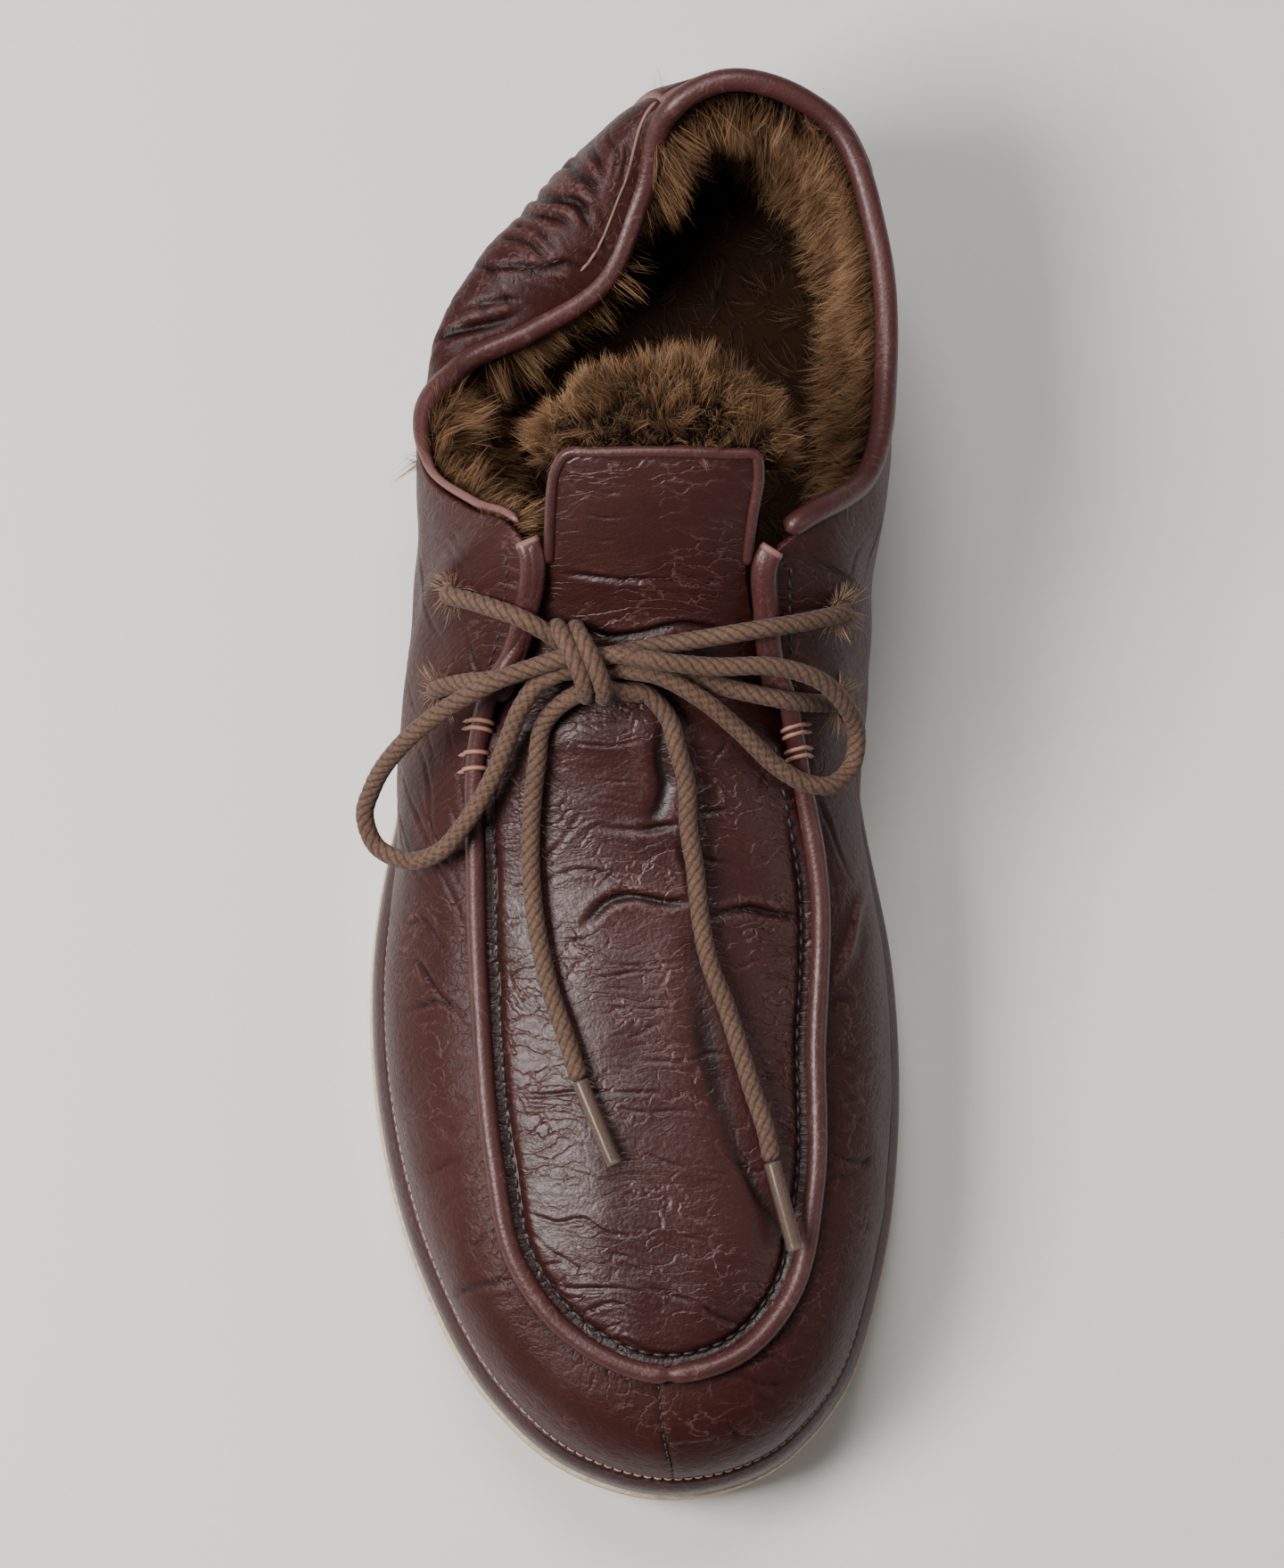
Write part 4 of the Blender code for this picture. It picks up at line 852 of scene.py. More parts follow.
def wrap_profile():
    """The wrapped edge swells from the outsole and turns in under the upper's foot."""
    insets = [[0.0018], [0.0007], [0.0006], [0.0014], [0.0030]]
    rows = smooth([0.0, 0.2, 0.5, 0.8, 1.0], insets, np.linspace(0, 1, 16))
    base = OUTSOLE_THICKNESS + CLEARANCE
    profile = []
    for at, inset in zip(np.linspace(0, 1, 16), rows[:, 0]):
        profile.append((float(inset),
                        lambda y, at=at: base + lift(y) + at * (platform_top(y) - base - lift(y))))
    return profile


crepe = crepe_material()
dress(slab("crepe_sole", outsole_profile()), crepe, "crepe", "outsole")
dress(slab("platform_band", wrap_profile()), smooth_leather, "leather", "platform_wrap")


# %% [markdown]
# ## Creases along routes
#
# Soft leather keeps the folds that a foot made. Each main crease is a route over the shoe with a half
# width and a depth. The routes' points were picked on the photograph. A program turned them
# into the numbers in the tables, through the fitted camera: rib numbers and shares on the sides, and
# millimetres on the top panel. The surface sinks in a trough along the route and rises in a low
# shoulder on each side. A little noise makes the line wander as a real crease does.

# %% Creases
def cells_noise(points, size, seed=0):
    """Smooth noise from -1 to 1: fixed values at the corners of cubes of a size, eased between them."""
    q = points / size + seed * 17.13
    base = np.floor(q).astype(np.int64)
    f = q - base
    f = f * f * (3 - 2 * f)
    total = 0.0
    for corner in range(8):
        step = np.array([corner & 1, corner >> 1 & 1, corner >> 2])
        cell = base + step
        mixed_up = cell[..., 0] * 73856093 ^ cell[..., 1] * 19349663 ^ cell[..., 2] * 83492791
        value = ((mixed_up * 2654435761 >> 9) & 0xFFFF) / 32767.5 - 1
        weight = np.prod(np.where(step, f, 1 - f), axis=-1)
        total = total + value * weight
    return total


def to_route(places, path):
    """Distance from places to a path of points, and how far along it from 0 to 1 the nearest spot is."""
    gaps = np.linalg.norm(places[:, None] - path[None], axis=-1)
    nearest = gaps.argmin(1)
    gap = gaps[np.arange(len(gaps)), nearest]
    spot = nearest.astype(float)
    for step in (-1, 1):
        here, there = path[nearest], path[np.clip(nearest + step, 0, len(path) - 1)]
        along = there - here
        t = np.clip(((places - here) * along).sum(1) / np.maximum((along**2).sum(1), 1e-12), 0, 1)
        closer = np.linalg.norm(places - here - t[:, None] * along, axis=1)
        spot = np.where(closer < gap, nearest + step * t, spot)
        gap = np.minimum(gap, closer)
    return gap, np.clip(spot / (len(path) - 1), 0, 1)


def creases(points, lines, wander=0.0009):
    """Height at points: -depth exp(-(d/w)^2) on each route, and low shoulders 2.4 w away from it."""
    shape = points.shape[:-1]
    flat = points.reshape(-1, 3)
    shifted = flat + wander * np.stack([cells_noise(flat, 0.006, k) for k in range(3)], -1)
    uneven = 0.75 + 0.45 * cells_noise(flat, 0.009, 15)
    height = np.zeros(len(flat))
    for route, width, depth in lines:
        path, _ = along_route(route, 0.0015)
        width = width * 0.8
        reach = 5 * width
        near = np.all((shifted > path.min(0) - reach) & (shifted < path.max(0) + reach), axis=1)
        if not near.any():
            continue
        gap, spot = to_route(shifted[near], path)
        fade = np.sin(np.pi * np.clip(spot, 0.01, 0.99)) ** 0.5 * np.clip(uneven[near], 0.3, 1.2)
        shoulder = 0.22 * np.exp(-(((gap - 2.4 * width) / (1.3 * width)) ** 2))
        height[near] += fade * depth * (shoulder - np.exp(-((gap / width) ** 2)))
    return height.reshape(shape)


FULL_FOLD = 0.0005


def lift_along(points, out, height, soft=0.0):
    """Points moved along their normals, and the fold attribute: the height as a share of a full fold."""
    return points + out * (height + soft)[..., None], np.clip(height / FULL_FOLD, -1, 1)


# %% [markdown]
# ## The upper's sides
#
# The sides are two large pieces that meet at the toe seam and under the strap on the heel. Each is
# the family of ribs on a fine grid, with its creases pressed in. Its upper edge turns in over the
# thickness of the leather, so the rim never shows as a paper edge.

# %% Sides of the upper
def side_wall(name, first, last, columns, rows, lines, finish):
    """Ribs on a grid, creased, then turned in by the leather's thickness and down inside."""
    knots = stations(first, last, columns)
    share = np.linspace(0, 1, rows)
    points, out, upwards = wall(knots[:, None], share[None])
    soft = 0.0006 * cells_noise(points, 0.024, 5) + 0.00024 * cells_noise(points, 0.008, 6)
    soft = soft * np.sin(np.pi * share)[None] ** 0.5
    shown, fold = lift_along(points, out, creases(points, lines), soft)
    edge, edge_out, edge_up = points[:, -1:], out[:, -1:], upwards[:, -1:]
    turn = np.linspace(0, np.pi, 7)[1:, None]
    over = edge - edge_out * (LEATHER / 2) * (1 - np.cos(turn)) + edge_up * (LEATHER / 2) * np.sin(turn) * 0.6
    inside, _, _ = wall(knots[:, None], np.linspace(1, 0.0, 9)[None, 1:], LEATHER)
    full = np.concatenate([shown, over, inside], 1)
    fold = np.concatenate([fold, np.zeros(full.shape[:2])[:, rows:]], 1)
    run = np.broadcast_to((knots - knots[0])[:, None], full.shape[:2])
    climb = np.linalg.norm(np.diff(full, axis=1), axis=-1).mean(0)
    climb = np.broadcast_to(np.concatenate([[0], np.cumsum(climb)]), run.shape)
    made = surface(name, full, uv=np.stack([climb, run], -1), fold=fold)
    return dress(made, finish, "leather", "upper")


def on_side(*places):
    """A route over the sides: pairs of a rib's number and a share of the way up it."""
    return [tuple(wall(knot_of(number), share)[0]) for number, share in places]


SIDE_CREASES_OUTER = (
    # half width and depth in millimetres, then the route: a rib's number and a share of the way up it
    (0.7, 0.45, (7.4, 0.66), (8.4, 0.61), (10.4, 0.59), (11.1, 0.68)),
    (0.7, 0.45, (7.8, 0.82), (10.1, 0.77), (10.7, 0.79)),
    (0.6, 0.40, (7.8, 0.89), (9.3, 0.83)),
    (0.6, 0.40, (8.2, 0.42), (9.4, 0.47), (10.3, 0.50)),
    (0.6, 0.40, (8.8, 0.28), (9.9, 0.36), (10.9, 0.46)),
    (0.7, 0.50, (11.9, 0.49), (12.7, 0.60), (13.3, 0.67), (13.7, 0.68)),
    (0.7, 0.60, (14.0, 0.17), (14.3, 0.43), (14.3, 0.61), (14.5, 0.74), (14.6, 0.90)),
    (0.7, 0.65, (14.4, 0.19), (14.5, 0.44), (14.6, 0.57), (14.8, 0.69), (15.0, 0.90)),
    (0.7, 0.55, (14.9, 0.38), (14.9, 0.59), (14.9, 0.76), (15.1, 0.90)),
    (0.6, 0.40, (14.7, 0.34), (14.8, 0.52), (14.9, 0.62)),
    (0.7, 0.60, (15.3, 0.33), (15.3, 0.62), (15.3, 0.80), (15.3, 0.92)),
    (0.6, 0.40, (15.4, 0.55), (15.5, 0.72), (15.6, 0.87)),
    (0.7, 0.50, (15.9, 0.37), (15.8, 0.69), (15.7, 0.90)),
    (0.7, 0.55, (16.1, 0.41), (16.0, 0.66), (15.9, 0.89)),
    (0.6, 0.40, (16.4, 0.50), (16.3, 0.70), (16.3, 0.86)),
    (0.6, 0.40, (16.7, 0.54), (16.7, 0.76), (16.6, 0.91)),
    (0.8, 0.90, (17.2, 0.21), (17.1, 0.57), (17.1, 0.78), (17.1, 0.92)),
    (0.7, 0.55, (13.2, 0.60), (13.8, 0.76), (14.2, 0.89)),
    (0.7, 0.55, (11.9, 0.34), (13.2, 0.52), (13.6, 0.64), (14.1, 0.78), (14.4, 0.90)),
    (0.6, 0.45, (13.4, 0.80), (13.7, 0.86), (14.1, 0.91)),
    (0.7, 0.45, (10.3, 0.36), (11.4, 0.48), (12.2, 0.61), (12.9, 0.69)),
    (0.6, 0.45, (12.6, 0.27), (13.5, 0.40), (14.0, 0.61), (14.3, 0.81)),
    (0.6, 0.40, (10.9, 0.76), (11.4, 0.83), (11.8, 0.94)),
    (0.6, 0.40, (12.2, 0.20), (13.1, 0.36), (13.7, 0.52)),
    (0.6, 0.35, (12.5, 0.76), (13.1, 0.84), (13.6, 0.92)),
    # the folded flap of the collar
    (1.2, 1.60, (2.7, 0.22), (2.7, 0.42), (2.6, 0.58), (2.5, 0.73), (2.6, 0.86)),
    (1.2, 1.40, (2.2, 0.22), (2.1, 0.42), (2.2, 0.60), (2.2, 0.76), (2.3, 0.85)),
    (1.0, 1.10, (3.2, 0.22), (3.0, 0.42), (2.9, 0.58), (2.8, 0.70), (2.7, 0.84)),
    (0.9, 0.90, (3.7, 0.36), (3.4, 0.56), (3.3, 0.67), (3.3, 0.76), (3.3, 0.84)),
    (0.8, 0.80, (3.3, 0.40), (3.1, 0.60), (3.1, 0.70), (3.1, 0.80)),
    (0.9, 0.90, (4.1, 0.44), (3.9, 0.67), (3.6, 0.77), (3.4, 0.83), (3.1, 0.87), (3.0, 0.96)),
    (0.8, 0.70, (3.9, 0.62), (4.0, 0.81), (4.0, 0.90), (3.9, 0.96)),
    (0.7, 0.50, (4.2, 0.72), (4.3, 0.84), (4.3, 0.94)),
    (0.8, 0.90, (3.6, 0.80), (3.4, 0.90), (3.4, 0.97)),
    (0.8, 0.70, (1.6, 0.40), (1.9, 0.65), (2.0, 0.74), (2.1, 0.84)),
    (0.7, 0.60, (1.5, 0.62), (1.8, 0.79), (2.0, 0.88)),
    (0.7, 0.60, (1.6, 0.83), (1.9, 0.90), (2.0, 0.94)),
    (0.8, 0.60, (2.6, 0.62), (2.5, 0.73), (2.4, 0.85), (2.5, 0.93)),
    (0.8, 0.60, (2.7, 0.86), (2.7, 0.93), (2.8, 0.99)),
    (0.8, 0.60, (4.5, 0.76), (4.2, 0.85), (3.9, 0.91)),
    (0.8, 0.65, (1.8, 0.30), (2.0, 0.50), (2.1, 0.68)),
    (0.8, 0.70, (3.0, 0.83), (2.9, 0.90), (2.9, 0.98)),
    (1.1, 1.00, (5.4, 0.62), (4.9, 0.80), (4.5, 0.92), (4.0, 0.96)),
    (0.8, 0.60, (2.4, 0.20), (2.4, 0.36), (2.4, 0.52)),
    (0.8, 0.50, (5.0, 0.40), (4.6, 0.55), (4.3, 0.66)),
    # the seam at the toe
    (0.8, 0.55, (19.0, 0.02), (19.0, 0.35), (19.0, 0.70), (19.0, 1.00)),
)
SIDE_CREASES_INNER = (
    (0.7, 0.50, (28.1, 0.70), (29.4, 0.77), (29.8, 0.84)),
    (0.6, 0.45, (28.4, 0.60), (29.5, 0.66), (30.2, 0.74)),
    (0.6, 0.40, (27.6, 0.60), (28.6, 0.52), (29.6, 0.50)),
    (1.8, -0.90, (23.4, 0.87), (23.6, 0.74), (23.9, 0.59), (24.1, 0.40)),
    (0.8, 0.80, (23.3, 0.90), (23.3, 0.78), (23.3, 0.60)),
    (0.8, 0.75, (23.0, 0.90), (22.9, 0.74), (22.9, 0.44)),
    (0.7, 0.60, (22.7, 0.84), (22.8, 0.67), (22.8, 0.44)),
    (0.7, 0.65, (22.6, 0.90), (22.6, 0.79), (22.7, 0.60)),
    (0.7, 0.60, (22.5, 0.90), (22.4, 0.76), (22.5, 0.60)),
    (0.8, 0.65, (22.3, 0.90), (22.2, 0.75), (22.2, 0.48)),
    (0.7, 0.55, (22.1, 0.89), (22.1, 0.70), (22.2, 0.50)),
    (0.7, 0.45, (24.3, 0.91), (24.1, 0.85), (23.8, 0.80)),
    (0.7, 0.50, (24.9, 0.93), (24.6, 0.83), (24.3, 0.75), (24.1, 0.66)),
    (0.6, 0.45, (21.7, 0.86), (21.7, 0.69), (21.7, 0.45)),
    (0.8, 0.55, (26.4, 0.52), (25.6, 0.44), (24.8, 0.36)),
    (0.7, 0.65, (19.8, 0.89), (19.9, 0.82), (20.0, 0.70), (20.2, 0.60), (20.2, 0.50)),
    (0.7, 0.55, (19.9, 0.93), (20.1, 0.90), (20.3, 0.83)),
    (0.7, 0.55, (19.8, 0.79), (19.9, 0.65), (19.9, 0.50)),
    (0.6, 0.50, (19.5, 0.68), (19.5, 0.55), (19.6, 0.42)),
    (0.6, 0.35, (19.5, 0.82), (19.6, 0.74), (19.7, 0.67)),
    (0.6, 0.45, (20.1, 0.77), (20.0, 0.62), (20.0, 0.50)),
    (0.8, 0.55, (19.0, 0.02), (19.0, 0.35), (19.0, 0.70), (19.0, 1.00)),
)


def in_metres(table, place):
    """The rows of a crease table with their routes worked out by a function, and widths in metres."""
    return [(place(*route), half / 1000, deep / 1000) for half, deep, *route in table]


side_wall("outer_side", 0, TOE_RIB, 460, 98, in_metres(SIDE_CREASES_OUTER, on_side), quarter_leather)
side_wall("inner_side", TOE_RIB, len(RIBS), 420, 84, in_metres(SIDE_CREASES_INNER, on_side), quarter_leather)


# %% [markdown]
# ## The top panel and the tongue
#
# The top panel runs from the toe seam up over the instep and goes on as the tongue, in one soft
# piece. Each of its rows is an arch between two edges. Towards the toe the edges follow the seam, and
# towards the ankle they slip in under the facings and become the tongue's sides.

# %% Top panel and tongue
def panel_rows():
    """Left edge, right edge, crown and flatness of the panel's rows, from the toe to the tongue's top."""
    count = 56
    outer = rib(stations(OUTER_THROAT, TOE_RIB, count), 1.0)[::-1]
    inner = rib(stations(TOE_RIB, INNER_THROAT, count), 1.0)
    crown = smooth(*zip(*[(at, [height]) for at, height in APRON_CROWN]), np.linspace(1, 0, count))
    crown = crown * INSTEP_HEIGHT
    flat = np.full((count, 1), 2.6)
    table = smooth(np.arange(len(TONGUE)), np.array(TONGUE), np.linspace(2.2, len(TONGUE) - 1, 22))
    along, across, rise, drop, half = (table[:, k] for k in range(5))
    base = platform_top(0.0) + CLEARANCE
    edge_z = base + (rise - drop) * INSTEP_HEIGHT
    left = np.stack([(across - half) * BALL_WIDTH, along * LENGTH, edge_z], -1)
    right = np.stack([(across + half) * BALL_WIDTH, along * LENGTH, edge_z], -1)
    tongue = np.concatenate([left, right, drop[:, None] * INSTEP_HEIGHT, np.full((22, 1), 2.0)], -1)
    return np.concatenate([np.concatenate([outer, inner, crown, flat], -1), tongue])


def panel(rows, columns):
    """The panel's points: left to right by u, raised by crown (1 - |2u - 1|^flatness)."""
    table = panel_rows()
    middle = (table[:, :3] + table[:, 3:6]) / 2
    run = np.concatenate([[0], np.cumsum(np.linalg.norm(np.diff(middle, axis=0), axis=1))])
    at = np.linspace(0, run[-1], rows)
    row = smooth(run, table, at)
    u = np.linspace(0, 1, columns)
    arc = 1 - np.abs(2 * u - 1) ** row[:, 7:8]
    points = row[:, None, :3] * (1 - u[None, :, None]) + row[:, None, 3:6] * u[None, :, None]
    points[..., 2] += row[:, 6:7] * arc
    return points, at


PANEL_CREASES = (
    # half width and depth in millimetres, then the route: places across and along in millimetres
    (2.1, 1.60, (3, 8), (2, 1), (3, -6), (1, -13)),
    (0.8, 1.10, (-10, -14), (-2, -14), (6, -13)),
    (0.7, 0.80, (7, -16), (8, -22), (8, -27)),
    (1.1, 1.40, (-12, -32), (-8, -28), (-2, -27), (3, -28), (9, -28)),
    (0.6, 0.45, (-30, -26), (-21, -24), (-15, -22), (-9, -23), (-4, -26), (1, -28)),
    (0.9, 1.15, (12, -31), (17, -30), (22, -29), (28, -30), (31, -30)),
    (0.4, 0.30, (-21, -36), (-11, -35)),
    (0.6, 0.55, (11, -11), (16, -10)),
    (0.5, 0.45, (11, -20), (16, -21)),
    (0.4, 0.35, (-14, 2), (-7, 2), (0, 4)),
    (0.4, 0.35, (-10, -5), (0, -5)),
    (0.4, 0.35, (-11, -8), (-2, -9)),
    (0.5, 0.40, (-12, 6), (-2, 6)),
    (0.6, 0.60, (16, 3), (12, -2)),
    (0.6, 0.60, (24, -2), (22, -8)),
    (0.4, 0.40, (-12, -43), (-1, -42), (7, -43)),
    (0.4, 0.35, (-9, -40), (-1, -41), (7, -40)),
    (0.4, 0.35, (-10, -49), (-1, -50), (8, -49)),
    (0.5, 0.50, (16, -42), (25, -38), (32, -36)),
    (0.4, 0.35, (17, -45), (25, -42), (31, -43)),
    (0.4, 0.30, (-30, -37), (-20, -37)),
    (0.4, 0.28, (-30, -42), (-22, -39), (-12, -40)),
    (0.6, 0.55, (-21, -20), (-16, -15), (-13, -11)),
    (0.5, 0.40, (-20, -13), (-16, -8)),
    (3.2, 0.80, (9, -34), (11, -49), (13, -61), (16, -71), (20, -82), (25, -90), (29, -98)),
    (1.0, 0.50, (18, -77), (20, -82), (25, -89), (29, -97)),
    (0.5, 0.60, (-29, -66), (-23, -66), (-14, -66), (-6, -66), (3, -66)),
    (0.5, 0.40, (-29, -68), (-22, -68), (-15, -70), (-13, -71)),
    (0.4, 0.38, (-9, -68), (-1, -70), (7, -70), (15, -71)),
    (0.4, 0.32, (-7, -71), (-2, -72), (2, -74), (7, -77)),
    (0.4, 0.38, (-5, -76), (1, -79), (7, -81), (13, -82), (19, -84)),
    (0.4, 0.28, (-28, -78), (-20, -80), (-11, -83), (-5, -84), (2, -86)),
    (0.5, 0.48, (-25, -89), (-18, -92), (-12, -92), (-8, -94), (-1, -95)),
    (0.4, 0.38, (2, -87), (7, -90), (13, -91), (17, -93)),
    (0.5, 0.45, (6, -94), (12, -96), (18, -97), (25, -98)),
    (0.5, 0.40, (8, -99), (16, -100), (23, -100)),
    (0.5, 0.42, (-23, -94), (-20, -97), (-15, -100), (-12, -102)),
    (0.4, 0.32, (-21, -101), (-17, -100), (-14, -102)),
    (0.5, 0.48, (-20, -104), (-15, -105), (-9, -105), (-3, -105), (1, -107)),
    (0.6, 0.65, (-2, -103), (4, -106), (10, -108), (16, -111), (22, -113)),
    (0.5, 0.42, (7, -108), (13, -110), (19, -113)),
    (0.5, 0.42, (-15, -111), (-11, -109), (-6, -108), (-1, -110)),
    (0.5, 0.42, (-9, -117), (-4, -115), (-1, -117), (5, -118), (12, -118)),
    (0.4, 0.32, (-11, -114), (-4, -112)),
    (0.5, 0.48, (-1, -59), (7, -60), (13, -58), (17, -58)),
    (0.4, 0.32, (-3, -55), (3, -52)),
    (0.4, 0.28, (-29, -54), (-23, -57), (-17, -59)),
    (0.6, 0.42, (21, -60), (24, -62), (28, -62)),
    (0.5, 0.50, (17, -79), (21, -81), (24, -81)),
    (0.4, 0.30, (-12, -62), (-4, -61), (2, -63)),
    (0.4, 0.30, (-10, -55), (-4, -54)),
    (0.4, 0.28, (-8, -45), (0, -46), (6, -45)),
    (0.4, 0.28, (-4, -88), (1, -90)),
    (0.4, 0.30, (-8, -98), (-3, -99), (4, -101)),
    (0.8, 0.60, (-20, 34), (-6, 32), (10, 33)),
    (0.4, 0.32, (-16, 48), (-12, 47), (-7, 47)),
    (0.4, 0.32, (-16, 44), (-11, 43), (-6, 43)),
    (0.4, 0.30, (-15, 40), (-12, 39), (-8, 39)),
    (1.0, 0.90, (-16, 24), (-5, 23), (7, 25), (18, 24)),
    (0.7, 0.60, (-7, 20), (5, 19), (16, 20)),
)


def on_panel(grid, *places):
    """A route over the panel: its height at each place across and along, in millimetres."""
    flat = grid.reshape(-1, 3)
    route = []
    for x, y in places:
        nearest = np.hypot(flat[:, 0] - x / 1000, flat[:, 1] - y / 1000).argmin()
        route.append((x / 1000, y / 1000, flat[nearest, 2]))
    return route


def from_seam(points):
    """Distance of each point of the panel from the seam, worked out for a block of rows at a time."""
    edge = rib(stations(OUTER_THROAT, INNER_THROAT, 260), 1.0)
    blocks = np.array_split(points, len(points) // 24)
    gaps = [np.linalg.norm(block[:, :, None] - edge, axis=-1).min(-1) for block in blocks]
    return np.concatenate(gaps)


def gathers(gap, run):
    """The sewn edge: a trough 3.2 mm in from the seam, faint tucks that fade inwards, and a mask of painted
    shade along the trough.
    """
    sewn = 1 - ease(0.100, 0.118, run)[:, None]
    trough = -0.0013 * np.exp(-(((gap - 0.0032) / 0.0012) ** 2))
    tucks = 0.00006 * np.cos(2 * np.pi * run / 0.0031)[:, None] * np.exp(-(((gap - 0.0052) / 0.0018) ** 2))
    return sewn * (trough + tucks), sewn * np.exp(-(((gap - 0.0029) / 0.0011) ** 2))


points, run = panel(560, 114)
across = np.gradient(points, axis=1)
onwards = np.gradient(points, axis=0)
out = unit(np.cross(across, onwards))
strides = np.linalg.norm(np.diff(points, axis=1), axis=-1)
width = np.concatenate([np.zeros((len(points), 1)), np.cumsum(strides, 1)], 1)
height = creases(points, in_metres(PANEL_CREASES, lambda *places: on_panel(points, *places)), 0.0007)
sewing, dark = gathers(from_seam(points), run)
soft = 0.00050 * cells_noise(points, 0.020, 9) + 0.00020 * cells_noise(points, 0.007, 10) + sewing
shown, fold = lift_along(points, out, height, soft)
uv = np.stack([width - width[:, -1:] / 2, np.broadcast_to(run[:, None], width.shape)], -1)
panel_top, panel_out = shown, out
# the painted shade along the seam's trough lowers the fold attribute, so the leather shader darkens the
# trough
top_panel = surface("top_panel", shown, flip=True, uv=uv, fold=np.clip(fold - dark, -1, 1))
dress(top_panel, vamp_leather, "leather", "tongue")
under, _ = panel(120, 40)
under[..., 2] -= 0.0016
dress(surface("panel_underside", under), vamp_leather, "leather")


# %% [markdown]
# ## Piping and bindings
#
# A rolled bead covers the seam, and thicker rolled edges finish the collar and the tongue. Each is a
# circle carried along the rim of the ribs, set half into the joint that it hides.

# %% Beads
def bead_path(first, last, count, radius, on_top, sink):
    """Middle of a bead along the rib tops: beyond the edge where on_top is 0, over the seam where it is 1."""
    knots = stations(first, last, count)
    top, out, _ = wall(knots, np.ones(count))
    beyond = unit(np.cross(out, rib(knots + 0.001, np.ones(count)) - rib(knots - 0.001, np.ones(count))))
    lean = unit(out - SEAM_LEAN * beyond)
    turn = np.asarray(on_top(knots))[:, None]
    way = np.cos(turn * math.pi / 2) * beyond + np.sin(turn * math.pi / 2) * lean
    return top + way * (radius - sink) - (1 - turn) * out * LEATHER / 2


def bead(name, path, radius, wobble=0.00012, sides=20, thin=0.0, joint=None):
    """A circle of slightly uneven radius carried along a path, with round ends.

    thin is the share of its radius that it loses between 55 and 25 mm before its end. joint is a
    place on the path where two lengths of the bead meet, and the bead is narrower there.
    """
    fine, run = along_route(path, 0.0009)
    side, high = carried_frame(fine)
    turn = np.linspace(0, 2 * np.pi, sides + 1)
    last = thin * ease(run[-1] - 0.055, run[-1] - 0.025, run)
    uneven = radius * (1 - last)[:, None] + wobble * cells_noise(fine, 0.011, 3)[:, None]
    ends = np.clip(np.minimum(run, run[-1] - run) / radius, 0, 1)
    uneven = uneven * np.sqrt(np.clip(1 - (1 - ends) ** 2, 0, 1))[:, None]
    if joint is not None:
        away = np.linalg.norm(fine - joint, axis=1)
        uneven = uneven * (1 - 0.38 * np.exp(-(away / 0.0009) ** 2))[:, None]
    ring = side[:, None] * np.cos(turn)[None, :, None] + high[:, None] * np.sin(turn)[None, :, None]
    skin = fine[:, None] + ring * uneven[..., None]
    uv = np.stack(np.broadcast_arrays(turn[None] * radius, run[:, None]), -1)
    raw = np.broadcast_to(last / max(thin, 0.01) * 0.6, (sides, len(fine)))
    return surface(name, skin.transpose(1, 0, 2)[:-1], wrap=True, flip=True, uv=uv.transpose(1, 0, 2),
                   fold=0 * raw, raw=raw)


def over_the_seam(knots):
    """Nought along the facings' free edges and one along the seam."""
    outer, inner = knot_of(OUTER_THROAT), knot_of(INNER_THROAT)
    turn = knot_of(OUTER_THROAT + 1) - outer
    rising = ease(outer - turn * 1.1, outer - turn * 0.4, knots)
    return rising * (1 - ease(inner + turn * 0.4, inner + turn * 1.1, knots))


def tongue_edge():
    """The rolled edge of the tongue: up one side, over the top and down the other, in metres."""
    grid, _ = panel(470, 41)
    side_rows = grid[-62::6]
    left = side_rows[:, 0] + (-0.0004, 0.0, -0.0004)
    right = side_rows[::-1, -1] + (0.0004, 0.0, -0.0004)
    rise = unit(grid[-1, 20] - grid[-8, 20])
    top = grid[-1, ::5] + rise * 0.0009
    return np.concatenate([left[:-1], top, right[1:]])


collar_path = bead_path(INNER_CORNER, OUTER_CORNER, 150, COLLAR_BINDING_RADIUS, lambda k: 0 * k, 0.0004)
collar_roll = bead("collar_roll", collar_path, COLLAR_BINDING_RADIUS, thin=0.68)
dress(collar_roll, trim_leather, "trim", "collar_binding")
seam_path = bead_path(OUTER_FACING_TOP, INNER_FACING_TOP, 220, PIPING_RADIUS, over_the_seam, 0.0007)
toe_joint = seam_path[seam_path[:, 1].argmin()]
dress(bead("seam_bead", seam_path, PIPING_RADIUS, joint=toe_joint), trim_leather, "trim", "moc_piping")
dress(bead("tongue_roll", tongue_edge(), 0.0011), trim_leather, "trim", "tongue_binding")


# %% [markdown]
# ## Facings and stitches
#
# A flat strip of leather covers each facing's free edge and ends in raw pink hide at the top. Threads
# are small capsules laid end to end: dark and thick beside the seam, black up the toe seam, and fine
# and pale along the foot of the upper.

